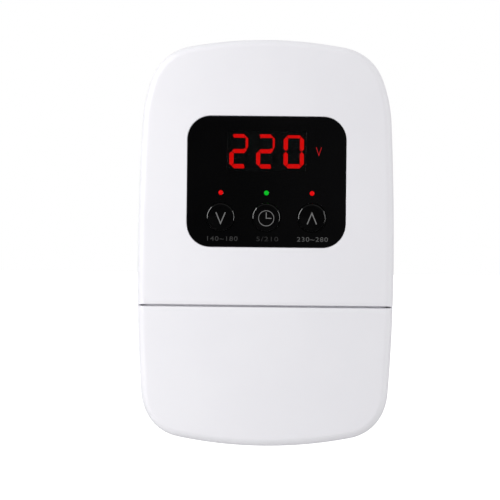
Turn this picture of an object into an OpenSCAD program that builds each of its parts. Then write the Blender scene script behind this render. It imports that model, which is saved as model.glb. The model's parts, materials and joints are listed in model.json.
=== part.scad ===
// Wall-mounted voltage protector: a bowed upper housing and a terminal cover on a back tray,
// with the control panel in front, the boards behind it and the wiring under the lower cover.
// Pieces are drawn in plan: x to the right, y up the wall, z out of the wall, in millimetres.
// stand() turns the plan upright, so that +Z is up and the front faces -Y.

/* [Body] */
// Width across the widest line
body_w = 102; // [97:1:112]
// Height over the two crowned ends
body_h = 161; // [157:1:175]
// Depth from the wall to the middle of the bowed front
body_d = 46; // [45:0.5:54]
// How far the widest line lies below the middle of the height
waist_drop = 9; // [5:0.5:12]
// How far the bow of the front falls at the widest line
crown_rise = 3.4; // [2:0.2:4.4]
// Wall of the mouldings
wall = 2.2; // [1.8:0.1:2.6]
// How far the front edge rounding reaches in from the side
edge_in = 5; // [4:0.5:6]
// How far the front edge rounding reaches back from the front
edge_back = 6; // [5:0.5:8]
// How much the side walls lean in towards the front
draft = 0.4; // [0.2:0.1:0.8]

/* [Outline] */
// Radius of the upper corners
top_corner_r = 20; // [16:0.5:23]
// Radius between an upper corner and the side
top_shoulder_r = 57; // [48:1:66]
// Radius of the lower corners
bottom_corner_r = 18; // [15:0.5:21]
// Radius between a lower corner and the side
bottom_shoulder_r = 24; // [20:0.5:30]

/* [Back base] */
// Depth of the back tray
base_d = 12; // [11:0.5:13]
// Thickness of the plate that lies on the wall
back_wall = 2.5; // [2:0.1:3]
// Shadow gap between the tray and the two shells
seam = 0.3; // [0.2:0.05:0.4]
// Diameter of the wall screw holes
wall_hole_d = 4.5; // [4:0.1:5]
// Distance between the wall screw holes across the width
wall_hole_span = 72; // [70:1:73]
// Height of the lower wall screw holes below the middle
wall_hole_drop = 58; // [57:0.5:60]
// Height of the keyhole slots above the middle
keyhole_rise = 46; // [42:1:47]
// Diameter of the keyhole entry
keyhole_d = 9; // [8:0.2:9.4]
// Travel from the keyhole entry to its slot end
keyhole_travel = 8; // [7:0.5:9]

/* [Split] */
// Share of the whole height by which the parting line lies below the middle
split_share = 0.155; // [0.15:0.001:0.16]
// Gap of the parting line
split_gap = 0.4; // [0.3:0.1:0.6]
// Rounding of the upper housing's edge along the parting line
upper_edge = 0.4; // [0.2:0.1:0.8]
// Rounding of the cover's edge along the parting line
cover_edge = 1; // [0.6:0.1:1.4]
// Height of the locating lip that hangs into the cover
lip_h = 2.5; // [2:0.1:3]
// Thickness of the locating lip
lip_t = 1.4; // [1.2:0.1:1.8]

/* [Control panel] */
// Width of the black panel
panel_w = 63; // [61:0.5:65]
// Height of the black panel
panel_h = 51.5; // [50.5:0.5:53]
// Corner radius of the black panel
panel_corner_r = 9.2; // [7:0.1:11]
// Thickness of the black panel
panel_t = 1.5; // [1.2:0.1:1.8]
// Height of the panel's middle above the body's middle
panel_rise = 24.1; // [23.5:0.1:25]
// Gap round the panel
panel_gap = 0.2; // [0.1:0.05:0.3]
// How far the panel lies below the shell's surface
panel_sink = 0.2; // [0.1:0.05:0.4]
// Depth from the crown of the front to the flat rear of the panel seat
seat_depth = 4.8; // [4.6:0.1:5.2]

/* [Display] */
// Width of the clear window
window_w = 31; // [30:0.5:33]
// Height of the clear window
window_h = 16; // [15:0.5:17]
// Distance from the panel's upper edge to the window
window_in = 5.55; // [5:0.05:6]
// Width of the display module
module_w = 34; // [33.5:0.5:37]
// Height of the display module
module_h = 18; // [17.5:0.5:19]
// Height of a digit
digit_h = 14; // [13:0.25:14.5]
// Width of a digit
digit_w = 8.4; // [7.6:0.2:8.8]
// Distance between digits
digit_pitch = 10.7; // [10:0.1:10.8]
// Thickness of a digit's bars
bar_t = 1.9; // [1.5:0.1:2.1]

/* [Buttons and lamps] */
// Diameter of the three round buttons
button_d = 11; // [10:0.25:11.5]
// Distance between the buttons, which the lamps share
button_pitch = 18; // [17:0.25:19]
// Height of the panel's middle above the button row
button_drop = 14.1; // [13.8:0.1:14.6]
// Gap round a button
button_gap = 0.25; // [0.15:0.05:0.35]
// How far a button stands out of the shell's surface
button_proud = 0.5; // [0.4:0.05:0.8]
// Travel of a button
button_travel = 0.4; // [0.25:0.05:0.4]
// Diameter of a signal lamp's tip
lamp_d = 2.3; // [2:0.1:2.8]
// Height of the lamp row above the button row
lamp_over = 9.7; // [9:0.1:10.4]

/* [Boards] */
// Thickness of the two circuit boards
board_t = 1.6; // [1.2:0.1:1.8]
// Height of the posts under the main board
main_post_h = 6; // [5:0.5:7]
// Height of the posts behind the panel seat
display_post_h = 5; // [4.8:0.1:5.6]
// Width of the relay case
relay_w = 30; // [27:1:31]
// Height of the relay case
relay_h = 26; // [24:1:28]
// Clearance between the relay case and the display board
relay_room = 5.5; // [4:0.5:8]

/* [Terminals] */
// Clearance between the terminal block's ears and the cover rails
block_room = 6.1; // [5.5:0.1:8]
// Thickness of the barriers between the terminals
barrier_t = 3; // [2.5:0.1:3.4]
// Height of the terminal block along the wall
block_h = 21; // [20:0.5:22]
// Depth of the block's floor slab
slab_d = 8; // [7.5:0.5:9]
// How far the barriers stand out of the slab
barrier_d = 10.5; // [9.5:0.5:11.5]
// Thickness of the copper bars
strip_t = 1.2; // [1:0.1:1.5]

/* [Cables] */
// Diameter of the cables that the clamps and grommets hold
cable_d = 9; // [8:0.5:9.5]
// Distance from the cable clamps' outer ends to the widest line
clamp_room = 17; // [16.5:0.5:18]
// Distance of the cable axes from the wall
cable_out = 17; // [16.5:0.25:18]

/* [Hidden] */

$fn = 48;
// Overrun of every cut past the face that it opens
over = 1;
// Facets of the long bow of the front
bow_fn = 360;
// Turns of the outline from the crown: into the corner, into the shoulder and into the side
top_turns = [10.5, 69, 87.2];
bottom_turns = [11.3, 69.2, 85.8];
// Facets along the crown, corner, shoulder and side arcs of a quarter
arc_steps = [4, 8, 3, 3];
// Facets across the parting line from the middle to a side, and round the front edge
split_steps = 4;
edge_steps = 5;
// Shares of the front that the rings between edge and middle take
front_shares = [0.75, 0.5, 0.25];

half_w = body_w / 2;
half_h = body_h / 2;
waist_y = -waist_drop;
split_y = -body_h * split_share;
upper_low = split_y + split_gap / 2;
cover_top = split_y - split_gap / 2;
shell_back = base_d + seam;
crown_r = (half_w * half_w + crown_rise * crown_rise) / (2 * crown_rise);
top_arcs = quarter(half_w, half_h + waist_drop, top_corner_r, top_shoulder_r, top_turns);
bottom_arcs = quarter(half_w, half_h - waist_drop, bottom_corner_r, bottom_shoulder_r, bottom_turns);

// Screws: radius of the shank, radius of the head and depth of the head
small_screw = [1.2, 2.2, 1.6];
case_screw = [1.45, 2.8, 2];
// Gaps of a threaded and of a plain hole, and what a blind hole leaves under it
thread_gap = 0.05;
hole_gap = 0.25;
blind_t = 1;
// Screw slots: width, depth and the share of the head radius that they reach
cross_w = 0.7;
cross_d = 0.9;
cross_share = 0.6;

// Towers of the upper housing that take the screws from the back
tower_r = 4;
tower_in = 8;
tower_turn = 50;
tower_rib_t = 2;
tower_floor = 3;
case_screw_len = 13;

// Panel seat, pocket and window
seat_rim = 2.8;
glue = 0.1;
window_round = 0.8;
module_gap = 0.3;
pane_gap = 0.1;
window_rise = panel_rise + panel_h / 2 - window_in - window_h / 2;
z_seat = body_d - seat_depth;
z_board = z_seat - display_post_h;
z_board_back = z_board - board_t;
pocket_sink = panel_sink + panel_t + glue;
module_front = body_d - pocket_sink - drop(module_w / 2);
// Lit bars: depth, gap to the module and gap along the mitres
segment_t = 1.2;
segment_gap = 0.05;
mitre_gap = 0.1;

// Buttons, push switches and lamps
button_flange_t = 0.7;
button_flange_out = 1.1;
button_round = 0.9;
button_dish = 0.25;
dish_shares = [0.75, 0.5, 0.25, 0];
button_xs = [-button_pitch, 0, button_pitch];
button_rise = panel_rise - button_drop;
lamp_rise = button_rise + lamp_over;
flange_gap = 0.1;
cap_back = z_seat - flange_gap - button_flange_t;
switch_w = 6;
switch_free = 0.8;
switch_h = cap_back - z_board - switch_free;
plunger_r = 1.7;
plunger_gap = 0.1;
plunger_in = 2.1;
lamp_body_r = 1.5;
lamp_flange_r = 1.9;
lamp_flange_t = 1;
lamp_proud = 0.15;
lamp_dome = 0.4;
lamp_gap = 0.1;

// Display board
display_board_w = 62;
display_post_r = 3;
display_below_buttons = 14;
display_above_module = 8;
display_board_low = button_rise - display_below_buttons;
display_board_high = window_rise + module_h / 2 + display_above_module;
display_post_in = 4;
display_post_ys = [display_board_low + display_post_in, display_board_high - display_post_in];
display_post_x = display_board_w / 2 - display_post_in;
display_posts = [for (x = [-display_post_x, display_post_x]) for (y = display_post_ys) [x, y]];
display_screw_len = 5;
chip_size = [9, 9, 1.5];

// Main board
board_gap = 1.5;
main_half_w = half_w - tower_in - tower_r - board_gap;
main_lift = 7;
main_low = upper_low + main_lift;
main_high = top_tower()[1] - tower_r - board_gap;
main_back = back_wall + main_post_h;
main_front = main_back + board_t;
main_post_r = 3;
main_post_in = 4;
main_posts = [for (x = [-1, 1]) for (y = [main_low + main_post_in, main_high - main_post_in])
    [x * (main_half_w - main_post_in), y]];
board_screw_len = 5;

// Free depth between the two boards
between_boards = z_board_back - main_front;

// Cable wall's low face, and the cover rails and hooks above it
flange_lift = 3.5;
flange_low = -half_h + flange_lift;
rail_drop = 4;
rail_over_wall = 18;
rail_high = split_y - rail_drop;
rail_low = flange_low + rail_over_wall;
rail_t = 2;
rail_lip = 2.4;
rail_lip_t = 2;
rail_lift = 4;
rail_out = base_d + rail_lift;
rail_room = 0.6;
hook_gap = 0.4;
hook_t = 2.7;
hook_len = 9;
hook_end = 1;
hook_tops = [rail_high - hook_end, rail_low + hook_len + hook_end];

// Terminal block and copper bars
poles = 4;
block_drop = 5.5;
block_top = split_y - block_drop;
block_low = block_top - block_h;
block_pad = 3;
block_back = back_wall + block_pad;
block_floor = block_back + slab_d;
ear_w = 7;
block_half = rail_inner() - block_room - ear_w;
pole_pitch = (2 * block_half - barrier_t) / poles;
bay_w = pole_pitch - barrier_t;
pole_xs = [for (i = [0:poles - 1]) (i - (poles - 1) / 2) * pole_pitch];
screw_share = 0.45;
screw_y = block_low + block_h * screw_share;
// The screws, washers and copper bars take shares of a bay's width
terminal_screw_shares = [0.23, 0.36, 0.25];
washer_share = 0.82;
strip_share = 0.76;
terminal_screw = bay_w * terminal_screw_shares;
washer_w = bay_w * washer_share;
strip_w = bay_w * strip_share;
terminal_bite = 6;
washer_t = 1;
ear_h = 9;
ear_t = 3;
// Copper bars: lap on the main board, where they start to bend, and the gap of the neutral link
bar_run = 11;
bar_lap = 1;
bar_bend = 2.2;
bar_foot = main_low + bar_lap;
neutral_gap = 0.5;
notch_room = 1;
notch_half = block_half + notch_room;
notch_d = 6;

// Parts on the main board, placed from its edges and from the relay, with room to the display board
relay_d = between_boards - relay_room;
relay_in = 4;
relay_gap = 2;
relay_left = -main_half_w + relay_in;
relay_low = bar_foot + bar_run + relay_gap;
relay_high = relay_low + relay_h;
part_gap = 3;
dropper_room = 7.5;
dropper_size = [26, 10, between_boards - dropper_room];
smoother_r = 5;
smoother_room = 8.5;
smoother_h = between_boards - smoother_room;
smoother_x = relay_left + dropper_size[0] + part_gap + smoother_r;
smoother_y = relay_high + part_gap + smoother_r;
smoother_groove_share = 0.18;
smoother_neck_share = 0.9;
varistor_room = 7.5;
varistor_lift = 3;
varistor_r = (between_boards - varistor_room - varistor_lift) / 2;
varistor_t = 4.5;
varistor_x = 16;
varistor_y = relay_low + varistor_t;
varistor_lead_r = 0.4;
fuse_r = 2.6;
fuse_len = 20;
fuse_in = 8;
fuse_x = main_half_w - fuse_in;
fuse_low = varistor_y + varistor_t + part_gap;
clip_t = 0.5;
clip_len = 5;
clip_h = 5;
fuse_out = main_front + clip_h;

// Ribbon between the boards, and its two sockets
ribbon_t = 1;
ribbon_w = 8;
ribbon_x = 14;
ribbon_steps = 12;
ribbon_bend_share = 0.3;
socket_share = 0.245;
socket_size = [10, 5, between_boards * socket_share];
main_socket_in = 14;
display_socket_in = 8;
main_socket_y = main_high - main_socket_in;
display_socket_y = display_board_high - display_socket_in;

// Cable wall, grommets and clamps
cable_r = cable_d / 2;
// Outer and inner ends of a clamp; the cable runs midway between them
clamp_reach = half_w - clamp_room;
clamp_start = 6;
cable_x = (clamp_reach + clamp_start) / 2;
saddle_half = (clamp_reach - clamp_start) / 2;
clamp_screw_x = (saddle_half + cable_r) / 2;
flange_t = 3;
grommet_wall = 2;
grommet_r = cable_r + grommet_wall;
grommet_lip = 2;
grommet_lip_r = grommet_r + grommet_lip;
grommet_lip_t = 1.6;
flange_over = 1.5;
flange_out = cable_out + grommet_lip_r + flange_over;
seat_gap = 0.05;
saddle_t = 8;
saddle_lift = 2;
saddle_low = flange_low + flange_t + saddle_lift;
clamp_d = 8;
clamp_screw_len = 15;

// Boss, screw and window of the cover's lower end
wall_gap = 0.4;
boss_half = 5;
boss_out = 7;
boss_h = 8;
cover_screw_len = 9;
screw_recess = 0.4;

// How far the bow has fallen at a distance from the middle line
function drop(x) = crown_r - sqrt(crown_r * crown_r - x * x);

function heading(a) = [sin(a), cos(a)];

// The four tangent arcs of a quarter outline, from its crown to its side, as centre, radius and turns.
// The crown and side radii are solved so that the quarter is exactly half wide and tall.
function quarter(half, tall, corner_r, shoulder_r, turns) =
    let (
        s = [for (a = turns) sin(a)],
        c = [for (a = turns) cos(a)],
        across = half - corner_r * (s[1] - s[0]) - shoulder_r * (s[2] - s[1]),
        up = tall - corner_r * (c[0] - c[1]) - shoulder_r * (c[1] - c[2]),
        solve = s[0] * c[2] - (1 - s[2]) * (1 - c[0]),
        crown = (across * c[2] - up * (1 - s[2])) / solve,
        side = (up * s[0] - across * (1 - c[0])) / solve,
        at_crown = [0, tall - crown],
        at_corner = at_crown + (crown - corner_r) * heading(turns[0]),
        at_shoulder = at_corner + (corner_r - shoulder_r) * heading(turns[1]),
        at_side = at_shoulder + (shoulder_r - side) * heading(turns[2])
    )
    [[at_crown, crown, 0, turns[0]], [at_corner, corner_r, turns[0], turns[1]],
        [at_shoulder, shoulder_r, turns[1], turns[2]], [at_side, side, turns[2], 90]];

// Tips of the cover rails' lips, and the rails' inner faces
function rail_tip() = side_x(rail_low, draft + wall) - rail_room;
function rail_inner() = rail_tip() - rail_lip - rail_t;

// Points along one arc, moved in by inset, without the first one
function arc_run(arc, inset, from, to, steps) =
    [for (i = [1:steps]) arc[0] + (arc[1] - inset) * heading(from + (to - from) * i / steps)];

function above(points) = [for (p = points) [p[0], waist_y + p[1]]];
function below(points) = [for (p = points) [p[0], waist_y - p[1]]];

// Where the lower side arc, moved in by inset, reaches a height
function side_turn(y, inset) = acos((waist_y - y) / (bottom_arcs[3][1] - inset));
function side_x(y, inset) =
    bottom_arcs[3][0][0] + (bottom_arcs[3][1] - inset) * sin(side_turn(y, inset));

// Right half of each outline, from the top on the middle line to the bottom on the middle line
function upper_half(inset, low) = concat(
    [[0, half_h - inset]],
    above([for (i = [0:3]) each arc_run(top_arcs[i], inset, top_arcs[i][2], top_arcs[i][3], arc_steps[i])]),
    below(arc_run(bottom_arcs[3], inset, 90, side_turn(low, inset), 1)),
    [for (i = [1:split_steps]) [side_x(low, inset) * (1 - i / split_steps), low]]);

function cover_half(inset, high) = concat(
    [for (i = [0:split_steps]) [side_x(high, inset) * i / split_steps, high]],
    below(arc_run(bottom_arcs[3], inset, side_turn(high, inset), bottom_turns[2], arc_steps[3])),
    below([for (i = [2:-1:0])
        each arc_run(bottom_arcs[i], inset, bottom_arcs[i][3], bottom_arcs[i][2], arc_steps[i])]));

function whole_half(inset) = concat(
    [[0, half_h - inset]],
    above([for (i = [0:3]) each arc_run(top_arcs[i], inset, top_arcs[i][2], top_arcs[i][3], arc_steps[i])]),
    below([for (i = [3:-1:0])
        each arc_run(bottom_arcs[i], inset, bottom_arcs[i][3], bottom_arcs[i][2], arc_steps[i])]));

// Closes a right half with its mirror image
function closed(half) = concat(half, [for (i = [len(half) - 2:-1:1]) [-half[i][0], half[i][1]]]);

// Middle of an upper tower, on the corner arc's own radius
function top_tower() =
    above([top_arcs[1][0] + (top_corner_r - tower_in) * heading(tower_turn)])[0];

// A shell's solid form: drafted sides, a rounded front edge and a bowed front, lofted ring by ring.
// upper picks the piece, inset and sink move the form in from the side and from the front.
module form(upper, inset, sink, split, back) {
    middle = upper ? (half_h + split) / 2 : (split - half_h) / 2;
    edge_rings = [for (k = [0:edge_steps])
        let (
            a = 90 * k / edge_steps,
            in = inset + draft + (edge_in - inset) * (1 - cos(a)),
            line = split + (upper ? upper_edge : -cover_edge) * (1 - cos(a)),
            front = body_d - sink - (edge_back - sink) * (1 - sin(a))
        )
        [for (p = closed(upper ? upper_half(in, line) : cover_half(in, line)))
            [p[0], p[1], front - drop(p[0])]]];
    rim = edge_rings[edge_steps];
    rings = concat(
        [[for (p = closed(upper ? upper_half(inset, split) : cover_half(inset, split)))
            [p[0], p[1], back]]],
        edge_rings,
        [for (s = front_shares) [for (p = rim)
            [p[0] * s, middle + (p[1] - middle) * s, body_d - sink - drop(p[0] * s)]]]);
    n = len(rings[0]);
    last = len(rings) - 1;
    crown_at = upper ? 0 : n / 2;
    points = concat([for (r = rings) each r], [[0, middle, body_d - sink]]);
    faces = concat(
        [[for (i = [n:-1:1]) (crown_at + i) % n]],
        [for (j = [0:last - 1]) for (i = [0:n - 1])
            let (a = j * n + i, b = j * n + (i + 1) % n) each [[a, b, b + n], [a, b + n, a + n]]],
        [for (i = [0:n - 1]) [last * n + i, last * n + (i + 1) % n, n * (last + 1)]]);
    polyhedron(points, faces, convexity = 4);
}

// Turns the plan upright
module stand() { rotate([90, 0, 0]) children(); }

// A cylinder along the height of the wall, from low upwards
module upright_rod(r, at, low, len) {
    translate([at[0], low, at[1]]) rotate([-90, 0, 0]) cylinder(r = r, h = len);
}

// Everything behind the bowed front surface, moved in by sink
module bow(sink) {
    translate([0, -body_h, body_d - crown_r])
        rotate([-90, 0, 0]) cylinder(r = crown_r - sink, h = 2 * body_h, $fn = bow_fn);
}

// A rectangle with true round corners, about its middle
module round_rect(w, h, r) {
    square([w - 2 * r, h], center = true);
    square([w, h - 2 * r], center = true);
    for (x = [-1, 1]) for (y = [-1, 1]) translate([x * (w / 2 - r), y * (h / 2 - r)]) circle(r = r);
}

// A plate between two heights, standing in the plan
module slab(w, h, at, from, to, r) {
    translate([at[0], at[1], from]) linear_extrude(to - from) round_rect(w, h, r);
}

module post(r, at, from, to) { translate([at[0], at[1], from]) cylinder(r = r, h = to - from); }

// A pan-head screw driven towards +z, its head seat at z = 0
module screw(size, len) {
    difference() {
        union() {
            cylinder(r = size[0], h = len);
            translate([0, 0, -size[2]]) cylinder(r = size[1], h = size[2]);
        }
        for (a = [0, 90]) rotate([0, 0, a])
            translate([-size[1] * cross_share, -cross_w / 2, -size[2] - over])
                cube([2 * size[1] * cross_share, cross_w, cross_d + over]);
    }
}

// Both upper and both lower places of something on the four towers
function tower_spots() = [for (x = [-1, 1])
    each [[x * top_tower()[0], top_tower()[1]], [x * (half_w - tower_in), waist_y]]];

module back_base() {
    color("whitesmoke") stand() difference() {
        union() {
            linear_extrude(back_wall) polygon(closed(whole_half(0)));
            difference() {
                linear_extrude(base_d) polygon(closed(whole_half(0)));
                translate([0, 0, back_wall]) linear_extrude(base_d) polygon(closed(whole_half(wall)));
            }
            for (p = tower_spots()) post(tower_r, p, 0, base_d);
            for (p = main_posts) post(main_post_r, p, 0, main_back);
            base_divider();
            base_block_seat();
            base_cable_wall();
            for (x = [-1, 1]) base_saddle(x * cable_x);
            for (x = [0, 1]) mirror([x, 0, 0]) base_rail();
        }
        for (p = tower_spots()) {
            post(case_screw[1] + hole_gap, p, -over, base_d - tower_floor);
            post(case_screw[0] + hole_gap, p, 0, base_d + over);
        }
        for (p = main_posts) post(small_screw[0] + thread_gap, p, back_wall, main_back + over);
        for (x = [-1, 1]) {
            post(wall_hole_d / 2, [x * wall_hole_span / 2, -wall_hole_drop], -over, back_wall + over);
            keyhole([x * wall_hole_span / 2, keyhole_rise]);
            post(small_screw[0] + thread_gap, [x * (block_half + ear_w / 2), ear_y()],
                blind_t, block_back + over);
            upright_rod(grommet_r + seat_gap, [x * cable_x, cable_out],
                flange_low - over, flange_t + 2 * over);
            upright_rod(grommet_lip_r + hole_gap, [x * cable_x, cable_out],
                -half_h - over, flange_low + half_h + over);
        }
        upright_rod(case_screw[0] + thread_gap, [0, flange_out + boss_out / 2],
            flange_low - over, cover_screw_len + 2 * over);
    }
}

module base_divider() {
    reach = side_x(split_y, wall / 2);
    translate([-reach, split_y, back_wall / 2]) cube([2 * reach, wall, base_d - back_wall / 2]);
}

function ear_y() = block_low + ear_h / 2;

// Two rails under the slab and a post under each ear
module base_block_seat() {
    for (y = [block_low + wall, block_top - 2 * wall])
        translate([-block_half, y, back_wall / 2]) cube([2 * block_half, wall, block_back - back_wall / 2]);
    for (x = [-1, 1]) post(ear_w / 2, [x * (block_half + ear_w / 2), ear_y()], 0, block_back);
}

// The wall that holds the grommets, and the boss on it that takes the cover screw
module base_cable_wall() {
    translate([-clamp_reach, flange_low, back_wall / 2])
        cube([2 * clamp_reach, flange_t, flange_out - back_wall / 2]);
    translate([-boss_half, flange_low, flange_out - over]) cube([2 * boss_half, boss_h, boss_out + over]);
}

module base_saddle(x) {
    difference() {
        translate([x - saddle_half, saddle_low, back_wall / 2])
            cube([2 * saddle_half, saddle_t, cable_out - back_wall / 2]);
        upright_rod(cable_r, [x, cable_out], saddle_low - over, saddle_t + 2 * over);
        for (s = [-1, 1])
            post(small_screw[0] + thread_gap, [x + s * clamp_screw_x, saddle_low + saddle_t / 2],
                back_wall + blind_t, cable_out + over);
    }
}

// The rail's profile across the width, run along the height
module base_rail() {
    translate([0, rail_low, 0]) rotate([-90, 0, 0]) linear_extrude(rail_high - rail_low) {
        translate([rail_inner(), -rail_out - rail_lip_t])
            square([rail_t, rail_out + rail_lip_t - back_wall / 2]);
        translate([rail_inner(), -rail_out - rail_lip_t]) square([rail_t + rail_lip, rail_lip_t]);
    }
}

module keyhole(at) {
    post(keyhole_d / 2, [at[0], at[1] - keyhole_travel], -over, back_wall + over);
    translate([at[0] - wall_hole_d / 2, at[1] - keyhole_travel, -over])
        cube([wall_hole_d, keyhole_travel, back_wall + 2 * over]);
    post(wall_hole_d / 2, at, -over, back_wall + over);
}

module upper_housing() {
    seat_w = panel_w + 2 * seat_rim;
    seat_h = panel_h + 2 * seat_rim;
    color("white") stand() difference() {
        union() {
            difference() {
                form(true, 0, 0, upper_low, shell_back);
                form(true, wall, wall, upper_low + wall, shell_back - over);
            }
            intersection() {
                slab(seat_w, seat_h, [0, panel_rise], z_seat, body_d, panel_corner_r);
                bow(wall / 2);
            }
            for (p = tower_spots()) intersection() {
                post(tower_r, p, shell_back, body_d);
                bow(wall / 2);
            }
            for (x = [0, 1]) mirror([x, 0, 0]) tower_ribs();
            for (p = display_posts) post(display_post_r, p, z_board, z_seat + over);
            locating_lip();
        }
        difference() {
            slab(panel_w + 2 * panel_gap, panel_h + 2 * panel_gap, [0, panel_rise],
                z_seat + over, body_d + over, panel_corner_r + panel_gap);
            bow(pocket_sink);
        }
        slab(module_w + 2 * module_gap, module_h + 2 * module_gap, [0, window_rise],
            z_seat - over, body_d, window_round);
        for (x = button_xs) {
            post(button_d / 2 + button_gap, [x, button_rise], z_seat - over, body_d);
            post(lamp_body_r + hole_gap, [x, lamp_rise], z_seat - over, body_d);
        }
        for (p = tower_spots())
            post(case_screw[0] + thread_gap, p, shell_back - over,
                base_d - tower_floor + case_screw_len + over);
        for (p = display_posts)
            post(small_screw[0] + thread_gap, p, z_board - over, z_board + display_screw_len);
        translate([-notch_half, upper_low - over, shell_back - over])
            cube([2 * notch_half, wall + 2 * over, notch_d + over]);
    }
}

// Ribs that tie the towers to the side wall
module tower_ribs() {
    top = body_d - edge_back - crown_rise;
    corner = above([top_arcs[1][0]])[0];
    translate([corner[0], corner[1], shell_back]) rotate([0, 0, 90 - tower_turn])
        translate([top_corner_r - tower_in, -tower_rib_t / 2, 0])
            cube([tower_in - wall / 2, tower_rib_t, top - shell_back]);
    translate([half_w - tower_in, waist_y - tower_rib_t / 2, shell_back])
        cube([tower_in - wall / 2 - draft, tower_rib_t, top - shell_back]);
}

// A lip behind the cover's front wall, so that the parting line shows no inside
module locating_lip() {
    reach = half_w - edge_in - wall - draft;
    low = upper_low - lip_h;
    difference() {
        intersection() {
            translate([-reach, low, z_seat - crown_rise])
                cube([2 * reach, lip_h + wall / 2, body_d - z_seat + crown_rise]);
            bow(wall + seam);
        }
        bow(wall + seam + lip_t);
    }
}

module terminal_cover() {
    bottom = -half_h;
    out = flange_out + boss_out / 2;
    pad_high = flange_low - seam;
    color("white") stand() difference() {
        union() {
            difference() {
                form(false, 0, 0, cover_top, shell_back);
                form(false, wall, wall, cover_top + over, shell_back - over);
            }
            for (x = [0, 1]) mirror([x, 0, 0]) for (y = hook_tops) cover_hook(y);
            translate([-boss_half, bottom + wall / 2, out - boss_out / 2])
                cube([2 * boss_half, pad_high - bottom - wall / 2, boss_out]);
        }
        translate([-clamp_reach - wall_gap, bottom - over, shell_back - over])
            cube([2 * (clamp_reach + wall_gap), flange_low + half_h + 2 * over + flange_t,
                flange_out + wall_gap - shell_back + over]);
        upright_rod(case_screw[1] + hole_gap, [0, out], bottom - over, screw_recess + case_screw[2] + over);
        upright_rod(case_screw[0] + hole_gap, [0, out], bottom, half_h);
    }
}

// A hook that reaches behind the rail's lip
module cover_hook(high) {
    inner = rail_tip() - rail_lip + hook_gap;
    outer = side_x(high - hook_len / 2, draft + wall / 2);
    back = rail_out - seam - hook_t;
    translate([inner, high - hook_len, back]) cube([outer - inner, hook_len, hook_t]);
}

module cover_screw() {
    color("silver") stand()
        translate([0, -half_h + screw_recess + case_screw[2], flange_out + boss_out / 2])
            rotate([-90, 0, 0]) screw(case_screw, cover_screw_len);
}

module housing_screws() {
    color("silver") stand() for (p = tower_spots())
        translate([p[0], p[1], base_d - tower_floor]) screw(case_screw, case_screw_len);
}

// The bowed plate that the panel and its window share
module panel_skin(sink) {
    difference() {
        bow(sink);
        bow(panel_sink + panel_t);
    }
}

module control_panel() {
    color([0.03, 0.03, 0.035]) stand() difference() {
        intersection() {
            slab(panel_w, panel_h, [0, panel_rise], z_seat, body_d + over, panel_corner_r);
            panel_skin(panel_sink);
        }
        slab(window_w, window_h, [0, window_rise], z_seat, body_d + over, window_round);
        for (x = button_xs) {
            post(button_d / 2 + button_gap, [x, button_rise], z_seat, body_d + over);
            post(lamp_d / 2 + lamp_gap, [x, lamp_rise], z_seat, body_d + over);
        }
    }
}

module display_window() {
    color([0.12, 0.03, 0.03, 0.5]) stand() intersection() {
        slab(window_w - 2 * pane_gap, window_h - 2 * pane_gap, [0, window_rise], z_seat, body_d + over,
            window_round - pane_gap);
        panel_skin(panel_sink + pane_gap / 2);
    }
}

module display_module() {
    color([0.08, 0.08, 0.08]) stand() difference() {
        slab(module_w, module_h, [0, window_rise], z_board, module_front, window_round / 2);
        digit_bars(module_front - segment_t, module_front + over, 0);
    }
}

module display_segments() {
    color("red") stand() digit_bars(module_front - segment_t, module_front, segment_gap);
}

// Seven bars for each digit; the bars of a digit meet along mitres
module digit_bars(from, to, gap) {
    for (i = [-1:1]) translate([i * digit_pitch, window_rise, from]) linear_extrude(to - from) {
        for (y = [-1, 0, 1]) translate([0, y * (digit_h - bar_t) / 2]) bar(digit_w - bar_t, gap);
        for (x = [-1, 1]) for (y = [-1, 1])
            translate([x * (digit_w - bar_t) / 2, y * (digit_h - bar_t) / 4])
                rotate([0, 0, 90]) bar((digit_h - bar_t) / 2, gap);
    }
}

module bar(len, gap) {
    half = len / 2 - mitre_gap - gap;
    thick = bar_t / 2 - gap;
    polygon([[-half, 0], [thick - half, thick], [half - thick, thick],
        [half, 0], [half - thick, -thick], [thick - half, -thick]]);
}

// A lamp: flange on the board, body through the seat and a domed tip in the panel
module lamp(x) {
    step = body_d - pocket_sink - drop(abs(x) + lamp_body_r) - lamp_gap;
    tip = body_d - panel_sink - drop(x) + lamp_proud;
    tip_r = lamp_d / 2;
    dome = [for (a = [0:15:90]) [tip_r * cos(a), tip - lamp_dome * (1 - sin(a))]];
    translate([x, lamp_rise, 0]) rotate_extrude() polygon(concat([[0, z_board], [lamp_flange_r, z_board],
        [lamp_flange_r, z_board + lamp_flange_t], [lamp_body_r, z_board + lamp_flange_t],
        [lamp_body_r, step], [tip_r, step]], dome));
}

module low_voltage_lamp() { color("red") stand() lamp(button_xs[0]); }
module delay_lamp() { color("limegreen") stand() lamp(button_xs[1]); }
module high_voltage_lamp() { color("red") stand() lamp(button_xs[2]); }

// A button: flange behind the seat, round skirt, rounded rim and a shallow dish
module button(x) {
    r = button_d / 2;
    flange_r = r + button_flange_out;
    top = body_d - drop(x) + button_proud;
    rim = [for (a = [0:15:90])
        [r - button_round * (1 - cos(a)), top - button_round * (1 - sin(a))]];
    dish_r = r - button_round;
    dish = [for (s = dish_shares) [dish_r * s, top - button_dish * (1 - s * s)]];
    color([0.05, 0.05, 0.055]) stand() translate([x, button_rise, 0]) rotate_extrude()
        polygon(concat([[0, cap_back], [flange_r, cap_back], [flange_r, cap_back + button_flange_t],
            [r, cap_back + button_flange_t]], rim, dish));
}

module down_button() { button(button_xs[0]); }
module timer_button() { button(button_xs[1]); }
module up_button() { button(button_xs[2]); }

module plunger(x) {
    color([0.15, 0.15, 0.15]) stand()
        post(plunger_r, [x, button_rise], cap_back - switch_free - plunger_in, cap_back);
}

module down_plunger() { plunger(button_xs[0]); }
module timer_plunger() { plunger(button_xs[1]); }
module up_plunger() { plunger(button_xs[2]); }

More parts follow.
